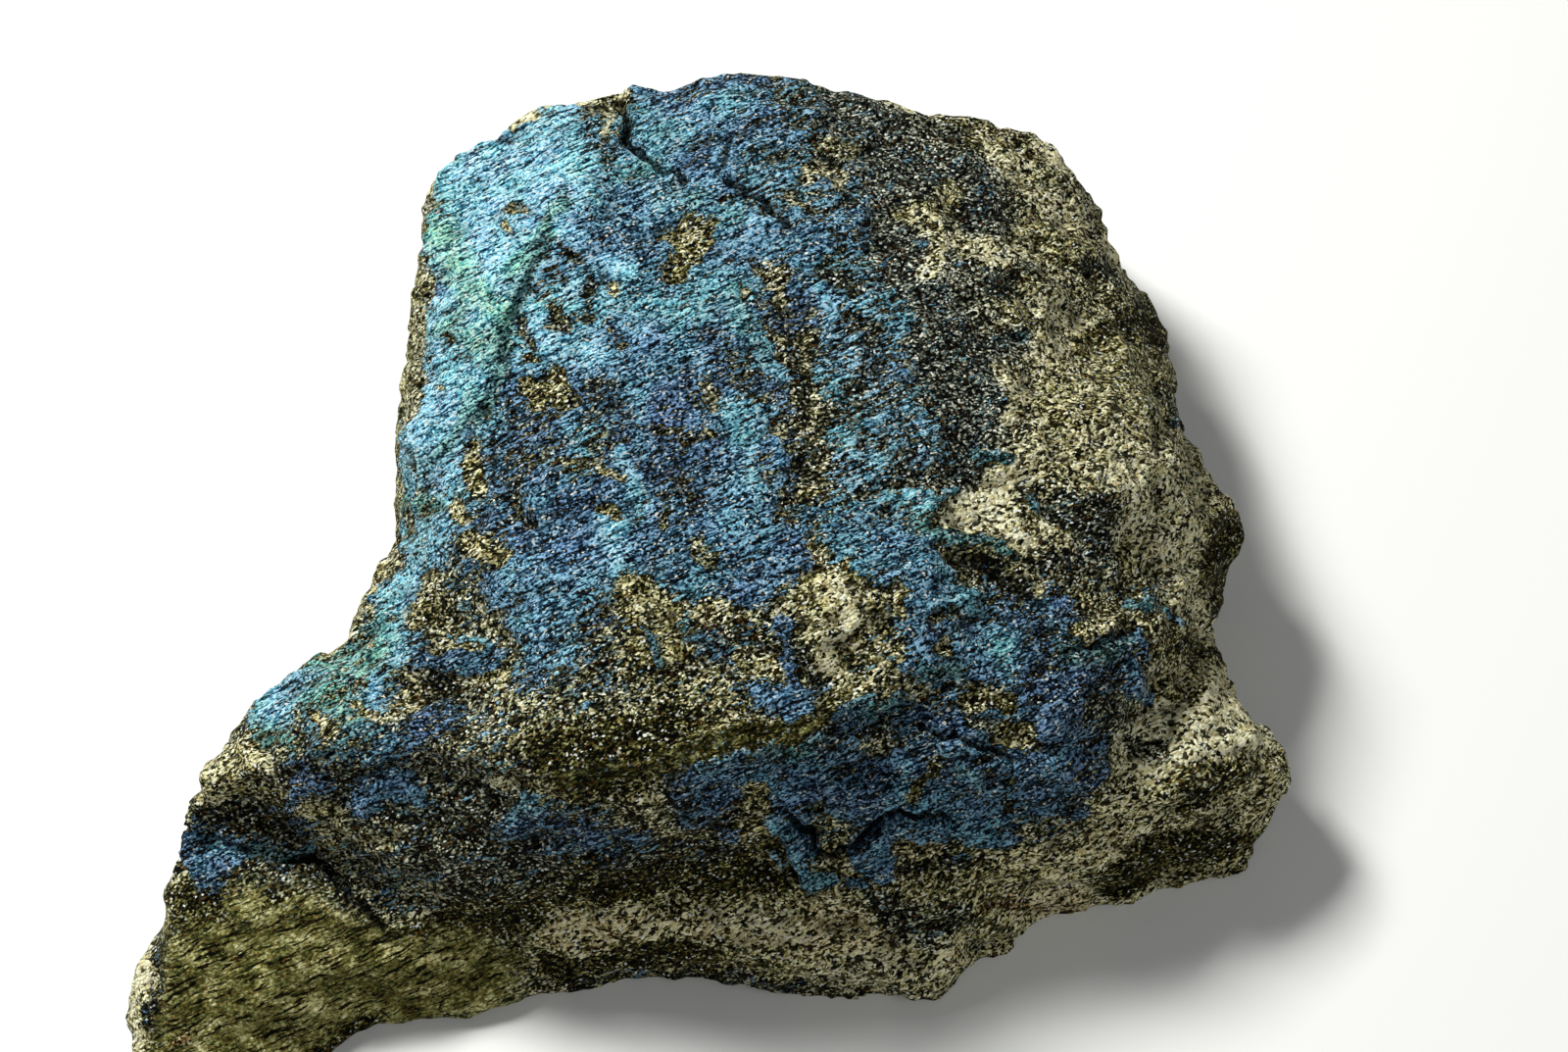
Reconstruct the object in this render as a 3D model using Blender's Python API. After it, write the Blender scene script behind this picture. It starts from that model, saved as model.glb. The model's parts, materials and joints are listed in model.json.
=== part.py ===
"""A hand specimen of aerinite: one broken block of dolerite whose face and front carry a blue crust.

The stone lies on its cleft back with its crusted face up. It is one grown piece, so it is one solid.
+Z is up, -Y is the front, and the origin is the centre of the stone's plan, on the table.
Lengths below are in millimetres, and MM turns them to metres.
"""

import math

import bmesh
import bpy
from mathutils import Euler, Vector, geometry, noise

MM = 0.001

# The crusted side is laid out as an eye above its front sees it. A point is (across, up, height): across
# and up are measured on a plane through EYE_TARGET that faces the eye, and height is above the table.
EYE_ELEVATION = math.radians(60)
EYE_DISTANCE = 444.4
EYE_TARGET = Vector((0, -15, 26))

# The stone's edge as the eye sees it, clockwise from the upper left corner.
EDGE = [
    # back edge
    (-36.3, 34.2, 27), (-34.6, 36.7, 28), (-31.6, 39.2, 29), (-27.0, 41.0, 30), (-23.2, 41.8, 31),
    (-17.5, 44.2, 32), (-11.0, 45.3, 33), (-5.0, 46.4, 34), (1.0, 46.0, 34), (9.2, 44.2, 33),
    (15.0, 42.2, 31), (20.4, 42.2, 29), (26.0, 41.0, 27),
    # right edge, with the nose halfway down it and the shelf's corner at its end
    (30.4, 37.2, 25), (32.0, 32.0, 24), (35.0, 26.7, 22), (38.2, 21.7, 20), (39.9, 16.7, 18),
    (40.4, 11.7, 17), (42.9, 6.7, 17), (45.6, 1.7, 17), (45.9, -1.1, 16), (43.8, -5.8, 13),
    (44.3, -10.4, 13), (46.6, -16.5, 15), (51.3, -23.4, 14), (51.8, -25.4, 12), (48.8, -30.2, 6),
    (49.0, -34.3, 1.5),
    # front edge, where the stone meets the table
    (45.0, -36.2, 1), (37.0, -36.5, 1), (31.5, -38.7, 1), (26.0, -39.5, 1), (20.6, -42.9, 1),
    (15.6, -47.4, 1), (9.0, -46.6, 1), (-7.0, -46.6, 2), (-20.0, -47.3, 1), (-24.0, -47.0, 2),
    (-33.0, -50.7, 1), (-43.0, -50.6, 1), (-49.0, -54.4, 1), (-60.0, -56.4, 1), (-65.0, -55.4, 1),
    # left edge, up the foot block and the flank to the crusted plate
    (-67.5, -50.8, 2), (-66.2, -45.9, 5), (-64.0, -39.9, 9), (-63.4, -35.0, 12), (-61.8, -28.8, 17),
    (-57.6, -23.4, 20), (-52.0, -16.5, 21), (-45.2, -10.9, 22), (-42.4, -6.4, 21), (-39.8, -0.9, 17),
    (-40.2, 8.0, 14), (-39.4, 14.2, 16), (-37.9, 21.7, 20),
]

# Lines along which the surface breaks.
BREAKS = {
    "left edge of the crusted plate": [
        (-35.4, 32.0, 29), (-36.3, 23.6, 29.5), (-37.3, 14.0, 29.5), (-38.2, 6.0, 29), (-39.0, -1.5, 26),
    ],
    "top of the plate's step": [
        (-17.9, 41.0, 36.2), (-19.5, 34.6, 37.4), (-21.0, 30.6, 38), (-24.5, 27.4, 37.6),
        (-28.7, 24.6, 36.6), (-30.0, 16.1, 35.4), (-33.0, 12.6, 33.6), (-36.4, 8.2, 30.6),
    ],
    "foot of the plate's step": [
        (-16.7, 39.6, 35), (-18.3, 33.8, 36), (-19.6, 29.4, 36.6), (-23.2, 26.0, 36.2),
        (-27.3, 23.2, 35.4), (-28.7, 15.6, 34.4), (-31.7, 11.2, 32.8), (-35.4, 6.6, 29.9),
    ],
    "brow": [
        (-57.5, -25.2, 22.5), (-51.0, -24.0, 26.5), (-44.0, -22.6, 29.5), (-37.0, -22.0, 31.5),
        (-29.0, -23.4, 33.5), (-20.0, -25.4, 34.6), (-12.0, -25.2, 35), (-4.0, -22.6, 35.4),
        (3.0, -20.9, 35.4), (10.0, -18.9, 35), (14.0, -16.2, 34.2),
    ],
    "foot of the brow": [
        (-28.0, -27.2, 29.6), (-20.0, -29.2, 29.4), (-12.0, -28.8, 29.2), (-4.0, -26.2, 29.4),
        (3.0, -24.4, 29.8), (10.0, -22.4, 30.4), (15.0, -19.4, 31.2),
    ],
    "shoulder beyond the brow": [
        (20.0, -15.0, 32), (27.0, -13.6, 30.6), (33.0, -11.6, 28.6), (38.6, -9.8, 25.2),
    ],
    "crack in the crust": [
        (16.0, -21.2, 30.8), (21.0, -22.8, 29.2), (25.6, -23.4, 27.8), (29.0, -21.6, 27.4),
    ],
    "crease along the front": [
        (-61.4, -33.8, 11), (-56.0, -34.4, 11.2), (-49.5, -33.6, 11.5), (-44.8, -35.6, 11),
        (-40.5, -38.7, 10.5), (-35.0, -40.6, 10.6), (-28.0, -40.6, 11.4), (-20.0, -38.2, 13),
        (-10.0, -35.8, 14.6), (-4.0, -35.4, 15.2), (3.0, -37.8, 13.8), (10.0, -36.6, 14.6), (20.0, -34.6, 14.6),
        (30.0, -32.6, 14.6), (35.5, -28.4, 16.6), (37.6, -23.6, 18.8), (38.8, -18.0, 19.6), (39.4, -13.0, 21.4),
    ],
    "left edge of the foot block": [
        (-63.6, -54.2, 2.6), (-63.4, -48.0, 7.4), (-62.9, -42.0, 10.2),
    ],
    "crest of the foot block": [
        (-62.4, -36.0, 12), (-56.0, -35.8, 14), (-49.5, -34.9, 15.2), (-45.5, -36.8, 14.2),
        (-41.5, -39.9, 12.4), (-38.0, -42.2, 11.2), (-33.0, -43.2, 9.4), (-27.0, -44.8, 6),
    ],
    "toe": [
        (-22.0, -43.6, 7.6), (-14.0, -43.8, 8), (-5.0, -44.2, 7.6), (5.0, -45.4, 7), (12.5, -46.4, 4.6),
        (18.5, -42.4, 7.4), (26.0, -37.4, 8), (33.0, -35.8, 8.4), (41.0, -32.8, 9),
    ],
    "front of the shelf": [
        (36.8, -28.0, 18.4), (41.5, -25.2, 20), (46.0, -23.4, 19), (49.8, -24.4, 16),
    ],
    "fold in the right flank": [
        (26.0, 13.6, 32.6), (29.0, 16.4, 30), (32.0, 18.0, 27), (35.6, 19.4, 23.4), (38.4, 20.4, 19.8),
    ],
    "chipped scarp": [
        (16.4, 0.6, 37.6), (20.0, 5.6, 36.4), (25.0, 8.6, 35.4),
    ],
}

# Single spots between the breaks.
SPOTS = {
    "plate": [
        (-29.0, 33.6, 32.6), (-24.0, 37.0, 33.6), (-33.0, 26.0, 32.2), (-33.4, 18.0, 32.2),
    ],
    "face": [
        (-8.0, 42.0, 36), (3.0, 41.0, 36.6), (-8.0, 33.0, 37.6), (4.0, 33.0, 38), (-10.0, 24.0, 38.4),
        (10.0, 24.0, 38.2), (-20.0, 16.0, 37.4), (-9.0, 13.0, 39.6), (1.5, 11.0, 38.6), (12.0, 12.0, 38.8),
        (-28.0, 6.0, 35.6), (-20.0, 4.0, 38.6), (-9.0, 2.0, 40), (6.0, 0.0, 39.4), (-33.0, -3.0, 33),
        (-24.0, -6.0, 37.6), (-12.0, -8.0, 39.4), (-2.0, -10.0, 38.4), (5.5, -8.0, 39.8), (14.0, -7.0, 37.8),
        (-22.0, -15.0, 36.6), (-10.0, -17.0, 37.2), (1.0, -15.0, 37.6), (-37.0, -9.0, 29.4),
        (-44.0, -16.0, 27.6), (-51.0, -20.4, 25),
    ],
    "hollow beside the face": [(-34.0, -16.4, 29.6), (-30.0, -15.4, 31.6), (-37.0, -12.4, 31.4)],
    "right shoulder": [
        (12.0, 36.0, 35.6), (20.0, 34.0, 32.4), (25.0, 32.0, 30.2), (19.0, 26.0, 35.4), (27.0, 23.6, 31),
        (22.0, 17.0, 35.6),
    ],
    "right bulge": [
        (32.6, 12.8, 32), (36.4, 9.8, 30), (39.4, 4.6, 28), (33.0, 3.6, 33.4), (42.8, 0.4, 24),
        (40.0, -3.6, 24), (43.0, -4.8, 17),
    ],
    "chipped hollow": [
        (19.6, -1.4, 36), (23.0, -5.0, 33.4), (29.0, -4.4, 31.6), (34.0, -6.6, 28.4), (27.0, 1.6, 34.6),
    ],
    "under the brow": [
        (-52.0, -29.0, 19), (-42.0, -29.6, 22), (-32.0, -33.0, 21), (-18.0, -33.4, 21.4), (-6.0, -31.2, 22.6),
        (6.0, -29.4, 24.2), (14.0, -27.4, 25), (23.0, -27.4, 22.6), (31.0, -25.4, 22.4), (33.0, -18.0, 26.6),
        (24.0, -19.0, 29.6), (36.0, -14.6, 25.4),
    ],
    "foot block": [
        (-55.0, -41.0, 12), (-48.0, -42.0, 11.6), (-60.0, -45.0, 9), (-52.0, -47.6, 7.8), (-42.0, -46.0, 7.6),
        (-58.0, -51.6, 4.4), (-50.0, -51.6, 4),
    ],
    "shelf": [(42.0, -19.4, 19.6), (46.0, -20.0, 18)],
}

# The flanks drop from the edge to the table in rings: (share of the edge's height, mm out or in from the
# edge for each mm of that height where the flank faces back, and where it faces any other way).
FLANK_RINGS = [(0.74, 0.10, -0.02), (0.45, 0.17, -0.01), (0.20, 0.12, -0.06), (0.05, 0.02, -0.14)]
FLANK_CHIPS = 0.11  # mm that a ring wanders, for each mm of the edge's height
FLANK_CHIP_SIZE = 13
UNDERSIDE_INSET = 1.5
UNDERSIDE_DEPTH = 2.5  # the rough underside reaches this far below the table before it is trimmed flat

WORKING_VOXEL = 1.2
BREAK_SOFTENING = 2  # smoothing passes over the breaks

# The stone splits along parallel planes. SPLIT_TILT turns them from level, and slabs between them stand
# out or back on the flanks, where the planes come to the surface.
SPLIT_TILT = Euler((math.radians(-24), math.radians(20), 0))
SLAB_THICKNESS = 5.2
SLAB_WANDER = 3.0  # how far the planes bend
SLAB_STAND = 1.1
# Broken dolerite, coarse to fine: (size of the lumps, how far they stand out on the flanks, on the face)
LUMPS = [(17, 1.3, 0.9), (7, 0.8, 0.45), (3.4, 0.45, 0.3)]
LUMP_SQUASH = 1.9  # lumps are this much thinner across the splitting planes
FINISHED_TRIANGLES = 9000

# The middle of the finished stone's plan, where its origin goes.
PLAN_CENTRE = (-7.0, -11.6)

CRUST_BLUE = (0.07, 0.17, 0.29)
DOLERITE = (0.13, 0.13, 0.09)


def clear_scene():
    for obj in list(bpy.data.objects):
        bpy.data.objects.remove(obj)


def place(across, up, height):
    """The point in space, in mm, that the eye sees at (across, up) and that stands this high."""
    rise, run = math.sin(EYE_ELEVATION), math.cos(EYE_ELEVATION)
    eye = EYE_TARGET + Vector((0, -run, rise)) * EYE_DISTANCE
    seen_at = EYE_TARGET + Vector((across, up * rise, up * run))
    return eye.lerp(seen_at, (eye.z - height) / (eye.z - seen_at.z))


def line_edges(start, count):
    """Edges that join count points in a row, from the point numbered start."""
    return [(start + step, start + step + 1) for step in range(count - 1)]


def add_crusted_side(mesh):
    """Triangulates the edge, the breaks and the spots into the side of the stone that the eye sees."""
    points = list(EDGE)
    breaks = []
    for line in BREAKS.values():
        breaks += line_edges(len(points), len(line))
        points += line
    for spots in SPOTS.values():
        points += spots
    seen = [Vector(point[:2]) for point in points]
    outline = list(range(len(EDGE)))
    inside_only = 1
    flat, _, triangles, sources, _, _ = geometry.delaunay_2d_cdt(seen, breaks, [outline], inside_only, 1e-4)
    verts = []
    for spot, source in zip(flat, sources):
        height = points[source[0]][2]
        verts.append(mesh.verts.new(place(spot.x, spot.y, height)))
    for triangle in triangles:
        mesh.faces.new([verts[corner] for corner in triangle])


def level_outward(vert):
    """The level direction away from the stone at a vertex on its open rim."""
    ahead, behind = (edge.other_vert(vert).co for edge in vert.link_edges if edge.is_boundary)
    along = ahead - behind
    away = Vector((along.y, -along.x, 0)).normalized()
    middles = [face.calc_center_median() for face in vert.link_faces]
    inner = sum(middles, Vector()) / len(middles)
    return away if away.dot(vert.co - inner) > 0 else -away


def extrude_rim(mesh):
    """Extrudes the open rim and gives the new rim's vertices."""
    rim = [edge for edge in mesh.edges if edge.is_boundary]
    grown = bmesh.ops.extrude_edge_only(mesh, edges=rim)["geom"]
    return [item for item in grown if isinstance(item, bmesh.types.BMVert)]


def add_flanks(mesh):
    """Drops rings from the edge to below the table, each placed by the edge vertex that it hangs from."""
    rim = {vert for edge in mesh.edges if edge.is_boundary for vert in edge.verts}
    hangers = {vert.co.copy().freeze(): (vert.co.copy(), level_outward(vert)) for vert in rim}
    underside_share = None
    for ring in FLANK_RINGS + [underside_share]:
        lowered = {}
        for vert in extrude_rim(mesh):
            top, away = hangers[vert.co.copy().freeze()]
            if ring is underside_share:
                inset = UNDERSIDE_INSET - FLANK_RINGS[-1][2] * top.z
                vert.co = top - away * inset
                vert.co.z = -UNDERSIDE_DEPTH
            else:
                share, back_slope, side_slope = ring
                slope = side_slope + (back_slope - side_slope) * max(0.0, away.y)
                level = Vector((top.x, top.y, top.z * share))
                wander = noise.noise(level / FLANK_CHIP_SIZE) * FLANK_CHIPS * max(0.25, away.y)
                vert.co = level + away * top.z * (slope + wander)
            lowered[vert.co.copy().freeze()] = (top, away)
        hangers = lowered
    open_rim = [edge for edge in mesh.edges if edge.is_boundary]
    bmesh.ops.contextual_create(mesh, geom=open_rim)


def rough_block():
    """The closed block, in mm, with flat facets between its breaks."""
    mesh = bmesh.new()
    add_crusted_side(mesh)
    add_flanks(mesh)
    bmesh.ops.recalc_face_normals(mesh, faces=mesh.faces)
    bmesh.ops.triangulate(mesh, faces=mesh.faces)
    bmesh.ops.scale(mesh, vec=(MM, MM, MM), verts=mesh.verts)
    bmesh.ops.translate(mesh, vec=(-PLAN_CENTRE[0] * MM, -PLAN_CENTRE[1] * MM, 0), verts=mesh.verts)
    data = bpy.data.meshes.new("stone")
    mesh.to_mesh(data)
    mesh.free()
    block = bpy.data.objects.new("stone", data)
    bpy.context.collection.objects.link(block)
    bpy.context.view_layer.objects.active = block
    return block


def apply_modifier(obj, kind, **settings):
    modifier = obj.modifiers.new(kind.title(), kind)
    for name, value in settings.items():
        setattr(modifier, name, value)
    bpy.ops.object.modifier_apply(modifier=modifier.name)


def stand_out(spot, flank):
    """How far broken dolerite stands out at a spot, in mm, where flank is 0 on the face and 1 on a wall."""
    across_splits = spot.z + noise.noise(spot / 20) * SLAB_WANDER
    slab = math.floor(across_splits / SLAB_THICKNESS)
    rise = noise.cell(Vector((slab + 0.5, 0.5, 0.5))) * SLAB_STAND * flank
    lumpy = Vector((spot.x, spot.y, spot.z * LUMP_SQUASH))
    for size, on_flank, on_face in LUMPS:
        height = on_face + (on_flank - on_face) * flank
        rise += noise.noise(lumpy / size + Vector((size, 0, 0))) * height
    return rise


def break_surface(block):
    """Gives the softened block its slabs and lumps."""
    into_splits = SPLIT_TILT.to_matrix().inverted()
    mesh = bmesh.new()
    mesh.from_mesh(block.data)
    mesh.normal_update()
    moved = []
    for vert in mesh.verts:
        flank = 1 - max(0.0, vert.normal.z) ** 2
        rise = stand_out(into_splits @ vert.co / MM, flank)
        moved.append(vert.co + vert.normal * rise * MM)
    for vert, spot in zip(mesh.verts, moved):
        vert.co = spot
    mesh.to_mesh(block.data)
    mesh.free()


def trim_at_table(block):
    """Cuts the underside flat, so that the stone rests."""
    mesh = bmesh.new()
    mesh.from_mesh(block.data)
    whole = list(mesh.verts) + list(mesh.edges) + list(mesh.faces)
    cut = bmesh.ops.bisect_plane(
        mesh, geom=whole, dist=1e-6, plane_co=(0, 0, 0), plane_no=(0, 0, 1), clear_inner=True
    )["geom_cut"]
    rim = [item for item in cut if isinstance(item, bmesh.types.BMEdge)]
    bmesh.ops.contextual_create(mesh, geom=rim)
    bmesh.ops.triangulate(mesh, faces=mesh.faces)
    mesh.to_mesh(block.data)
    mesh.free()


def rock_material(name, colour, roughness):
    material = bpy.data.materials.new(name)
    material.use_nodes = True
    shader = material.node_tree.nodes["Principled BSDF"]
    shader.inputs["Base Color"].default_value = (*colour, 1)
    shader.inputs["Roughness"].default_value = roughness
    return material


clear_scene()
stone = rough_block()
apply_modifier(stone, "REMESH", mode="VOXEL", voxel_size=WORKING_VOXEL * MM)
apply_modifier(stone, "SMOOTH", factor=0.5, iterations=BREAK_SOFTENING)
break_surface(stone)
triangles = 2 * len(stone.data.polygons)
apply_modifier(stone, "DECIMATE", ratio=FINISHED_TRIANGLES / triangles)
trim_at_table(stone)
stone.data.materials.append(rock_material("dolerite", DOLERITE, 0.85))
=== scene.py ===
"""The looks of the aerinite specimen: a dolerite block with a blue crust, on a pale table in soft light."""

import json
import math

import bpy
import numpy as np
from mathutils import Matrix, Vector, noise
from mathutils.bvhtree import BVHTree

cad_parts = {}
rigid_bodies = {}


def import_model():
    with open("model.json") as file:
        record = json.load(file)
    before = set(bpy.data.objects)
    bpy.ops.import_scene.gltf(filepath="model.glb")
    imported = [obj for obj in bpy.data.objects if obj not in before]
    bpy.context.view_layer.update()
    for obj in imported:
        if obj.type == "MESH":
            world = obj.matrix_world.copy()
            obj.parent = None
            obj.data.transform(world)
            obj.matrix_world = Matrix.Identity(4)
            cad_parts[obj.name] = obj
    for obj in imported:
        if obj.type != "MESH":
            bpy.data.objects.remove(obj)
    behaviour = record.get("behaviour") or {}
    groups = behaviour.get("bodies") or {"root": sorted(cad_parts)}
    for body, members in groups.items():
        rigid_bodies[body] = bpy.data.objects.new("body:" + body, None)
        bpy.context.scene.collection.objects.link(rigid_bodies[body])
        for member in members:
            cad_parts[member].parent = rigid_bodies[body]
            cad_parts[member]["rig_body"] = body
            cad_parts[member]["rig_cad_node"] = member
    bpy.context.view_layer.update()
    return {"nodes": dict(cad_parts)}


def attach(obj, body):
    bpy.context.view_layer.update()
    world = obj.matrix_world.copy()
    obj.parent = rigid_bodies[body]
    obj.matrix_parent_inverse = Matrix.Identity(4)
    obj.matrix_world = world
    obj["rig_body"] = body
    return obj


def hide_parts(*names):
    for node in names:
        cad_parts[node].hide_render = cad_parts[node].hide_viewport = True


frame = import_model()
MM = 0.001

# ---------------------------------------------------------------------------------------------------------
# The eye that the crusted side is laid out for. (across, up) are mm on the plane through EYE_TARGET that
# faces the eye. Every stroke of colour and every crack below is given in them.
# ---------------------------------------------------------------------------------------------------------
EYE_ELEVATION = math.radians(60)
EYE_DISTANCE = 444.4
EYE_TARGET = Vector((7.0, -3.4, 26.0))
TO_EYE = Vector((0, -math.cos(EYE_ELEVATION), math.sin(EYE_ELEVATION)))
EYE_UP = Vector((0, math.sin(EYE_ELEVATION), math.cos(EYE_ELEVATION)))
EYE = EYE_TARGET + TO_EYE * EYE_DISTANCE
LENS_MM = 100
FRAME_WIDTH = 160  # mm that the camera takes in at EYE_TARGET


def linear(hex_colour):
    """A linear RGBA colour from an sRGB hex value such as "7fb2c4"."""
    shares = [int(hex_colour[start:start + 2], 16) / 255 for start in (0, 2, 4)]
    return tuple(s / 12.92 if s <= 0.04045 else ((s + 0.055) / 1.055) ** 2.4 for s in shares) + (1,)


def select_only(obj):
    bpy.ops.object.select_all(action="DESELECT")
    obj.select_set(True)
    bpy.context.view_layer.objects.active = obj


def apply_modifier(obj, kind, **settings):
    modifier = obj.modifiers.new(kind.title(), kind)
    for name, value in settings.items():
        setattr(modifier, name, value)
    select_only(obj)
    bpy.ops.object.modifier_apply(modifier=modifier.name)


# ---------------------------------------------------------------------------------------------------------
# Colour, painted in strokes. A finish is (cover, tone, green, pale, olive, smooth). The first three are for
# the blue crust: how far it covers the rock, with 0.5 for half of it, its tone from navy to sky blue, and its
# tint from violet, below 0, to green. The others are for the bare rock: its share of pale feldspar, its olive
# weathering, which turns to rust past 1.25, and how far it is worn smooth. "dolerite" lies under all strokes.
# ---------------------------------------------------------------------------------------------------------
FINISHES = {
    "dolerite": (-0.50, 0.4, 0.0, 0.46, 0.75, 0.0),
    "grey dolerite": (-0.45, 0.4, 0.0, 0.41, 0.84, 0.0),
    "streaked dolerite": (0.12, 0.34, 0.2, 0.16, 0.05, 0.0),
    "dark dolerite": (0.08, 0.22, 0.1, 0.06, 0.30, 0.0),
    "black dolerite": (0.14, 0.10, 0.0, -0.08, 0.50, 0.0),
    "brown dolerite": (-0.40, 0.3, 0.0, 0.38, 1.00, 0.0),
    "tan dolerite": (-0.40, 0.4, 0.0, 0.73, 1.00, 0.0),
    "olive dolerite": (-0.45, 0.3, 0.1, 0.56, 1.10, 0.1),
    "dark olive": (-0.25, 0.2, 0.2, -0.08, 1.10, 0.1),
    "pale dolerite": (-0.45, 0.5, 0.0, 1.00, 0.80, 0.0),
    "cream feldspar": (-0.50, 0.6, 0.0, 1.50, 0.80, 0.0),
    "worn dolerite": (-0.50, 0.3, 0.1, 0.60, 1.00, 1.0),
    "broken rim": (-0.60, 0.5, 0.0, 0.80, 0.75, 0.7),
    "royal crust": (0.92, 0.20, -0.3, 0.1, 0.4, 0.0),
    "umber dolerite": (-0.50, 0.4, 0.0, 1.04, 1.31, 0.0),
    "chip floor": (-0.60, 0.4, 0.0, 0.44, 1.15, 0.0),
    "rust stain": (-0.50, 0.3, 0.0, 0.50, 1.50, 0.2),
    "worn crest": (-0.60, 0.3, 0.0, 0.82, 0.95, 0.9),
    "worn ridge": (-0.10, 0.2, 0.3, 0.24, 1.20, 0.7),
    "stained dolerite": (0.22, 0.30, 0.3, 0.38, 0.65, 0.0),
    "stained tan": (0.14, 0.40, 0.4, 0.42, 0.95, 0.0),
    "sky crust": (1.14, 1.08, 0.0, 0.6, 0.4, 0.2),
    "bright crust": (1.00, 0.88, 0.05, 0.6, 0.6, 0.1),
    "light crust": (0.93, 0.66, 0.0, 0.2, 0.6, 0.0),
    "teal crust": (0.92, 0.58, 0.35, 0.2, 0.7, 0.0),
    "green crust": (0.96, 0.92, 0.85, 0.5, 1.0, 0.1),
    "flecked sky crust": (0.76, 0.74, 0.15, 0.16, 0.7, 0.0),
    "flecked green crust": (0.62, 0.50, 0.95, 0.3, 1.0, 0.0),
    "flecked blue crust": (0.47, 0.62, 0.05, 0.0, 0.2, 0.0),
    "mid crust": (0.90, 0.46, 0.0, 0.1, 0.5, 0.0),
    "streaked crust": (0.66, 0.50, 0.05, 0.1, 0.3, 0.0),
    "mottled crust": (0.84, 1.06, 0.05, 0.08, 0.7, 0.0),
    "patchy crust": (0.46, 0.42, 0.0, 0.08, 0.35, 0.0),
    "thin crust": (0.34, 0.36, 0.0, 0.05, 0.7, 0.0),
    "violet crust": (0.92, 0.36, -0.5, 0.1, 0.5, 0.0),
    "deep crust": (0.84, 0.22, 0.0, 0.1, 0.5, 0.0),
    "slate crust": (0.74, 0.20, -0.4, 0.04, 0.3, 0.0),
    "thin slate crust": (0.56, 0.12, -0.2, 0.04, 0.3, 0.0),
    "navy crust": (0.88, 0.03, 0.0, 0.0, 0.5, 0.0),
    "thin navy crust": (0.56, -0.06, 0.05, -0.10, 0.5, 0.0),
    "bottle crust": (0.75, 0.16, 0.90, 0.1, 0.9, 0.2),
    "rim crust": (1.05, 0.44, 0.35, 0.3, 0.7, 0.6),
    "lip": (1.05, 0.50, 0.75, 0.3, 0.7, 0.8),
}
LEAST_FADE, MOST_FADE = 0.5, 4.0  # mm to either side of its edge over which a stroke fades
FADE_SHARE = 0.5  # that fade between these limits, as a share of the half width
SOFT_TONE = 0.9  # the same for tone and green, which have no limits
CHIP_DEPTH = 0.6

# the raised lip where the crusted plate steps down to the face, and the groove beside it
PLATE_LIP = [(-22.2, 33.2), (-24.6, 28.8), (-28, 23.2), (-29.6, 18.8), (-29.9, 15), (-32.2, 10.8), (-35.8, 7)]
PLATE_GROOVE = [(-21.2, 32.8), (-23.7, 28.3), (-27.0, 22.8), (-28.6, 18.6), (-28.9, 14.8), (-31.2, 10.4)]

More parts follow.
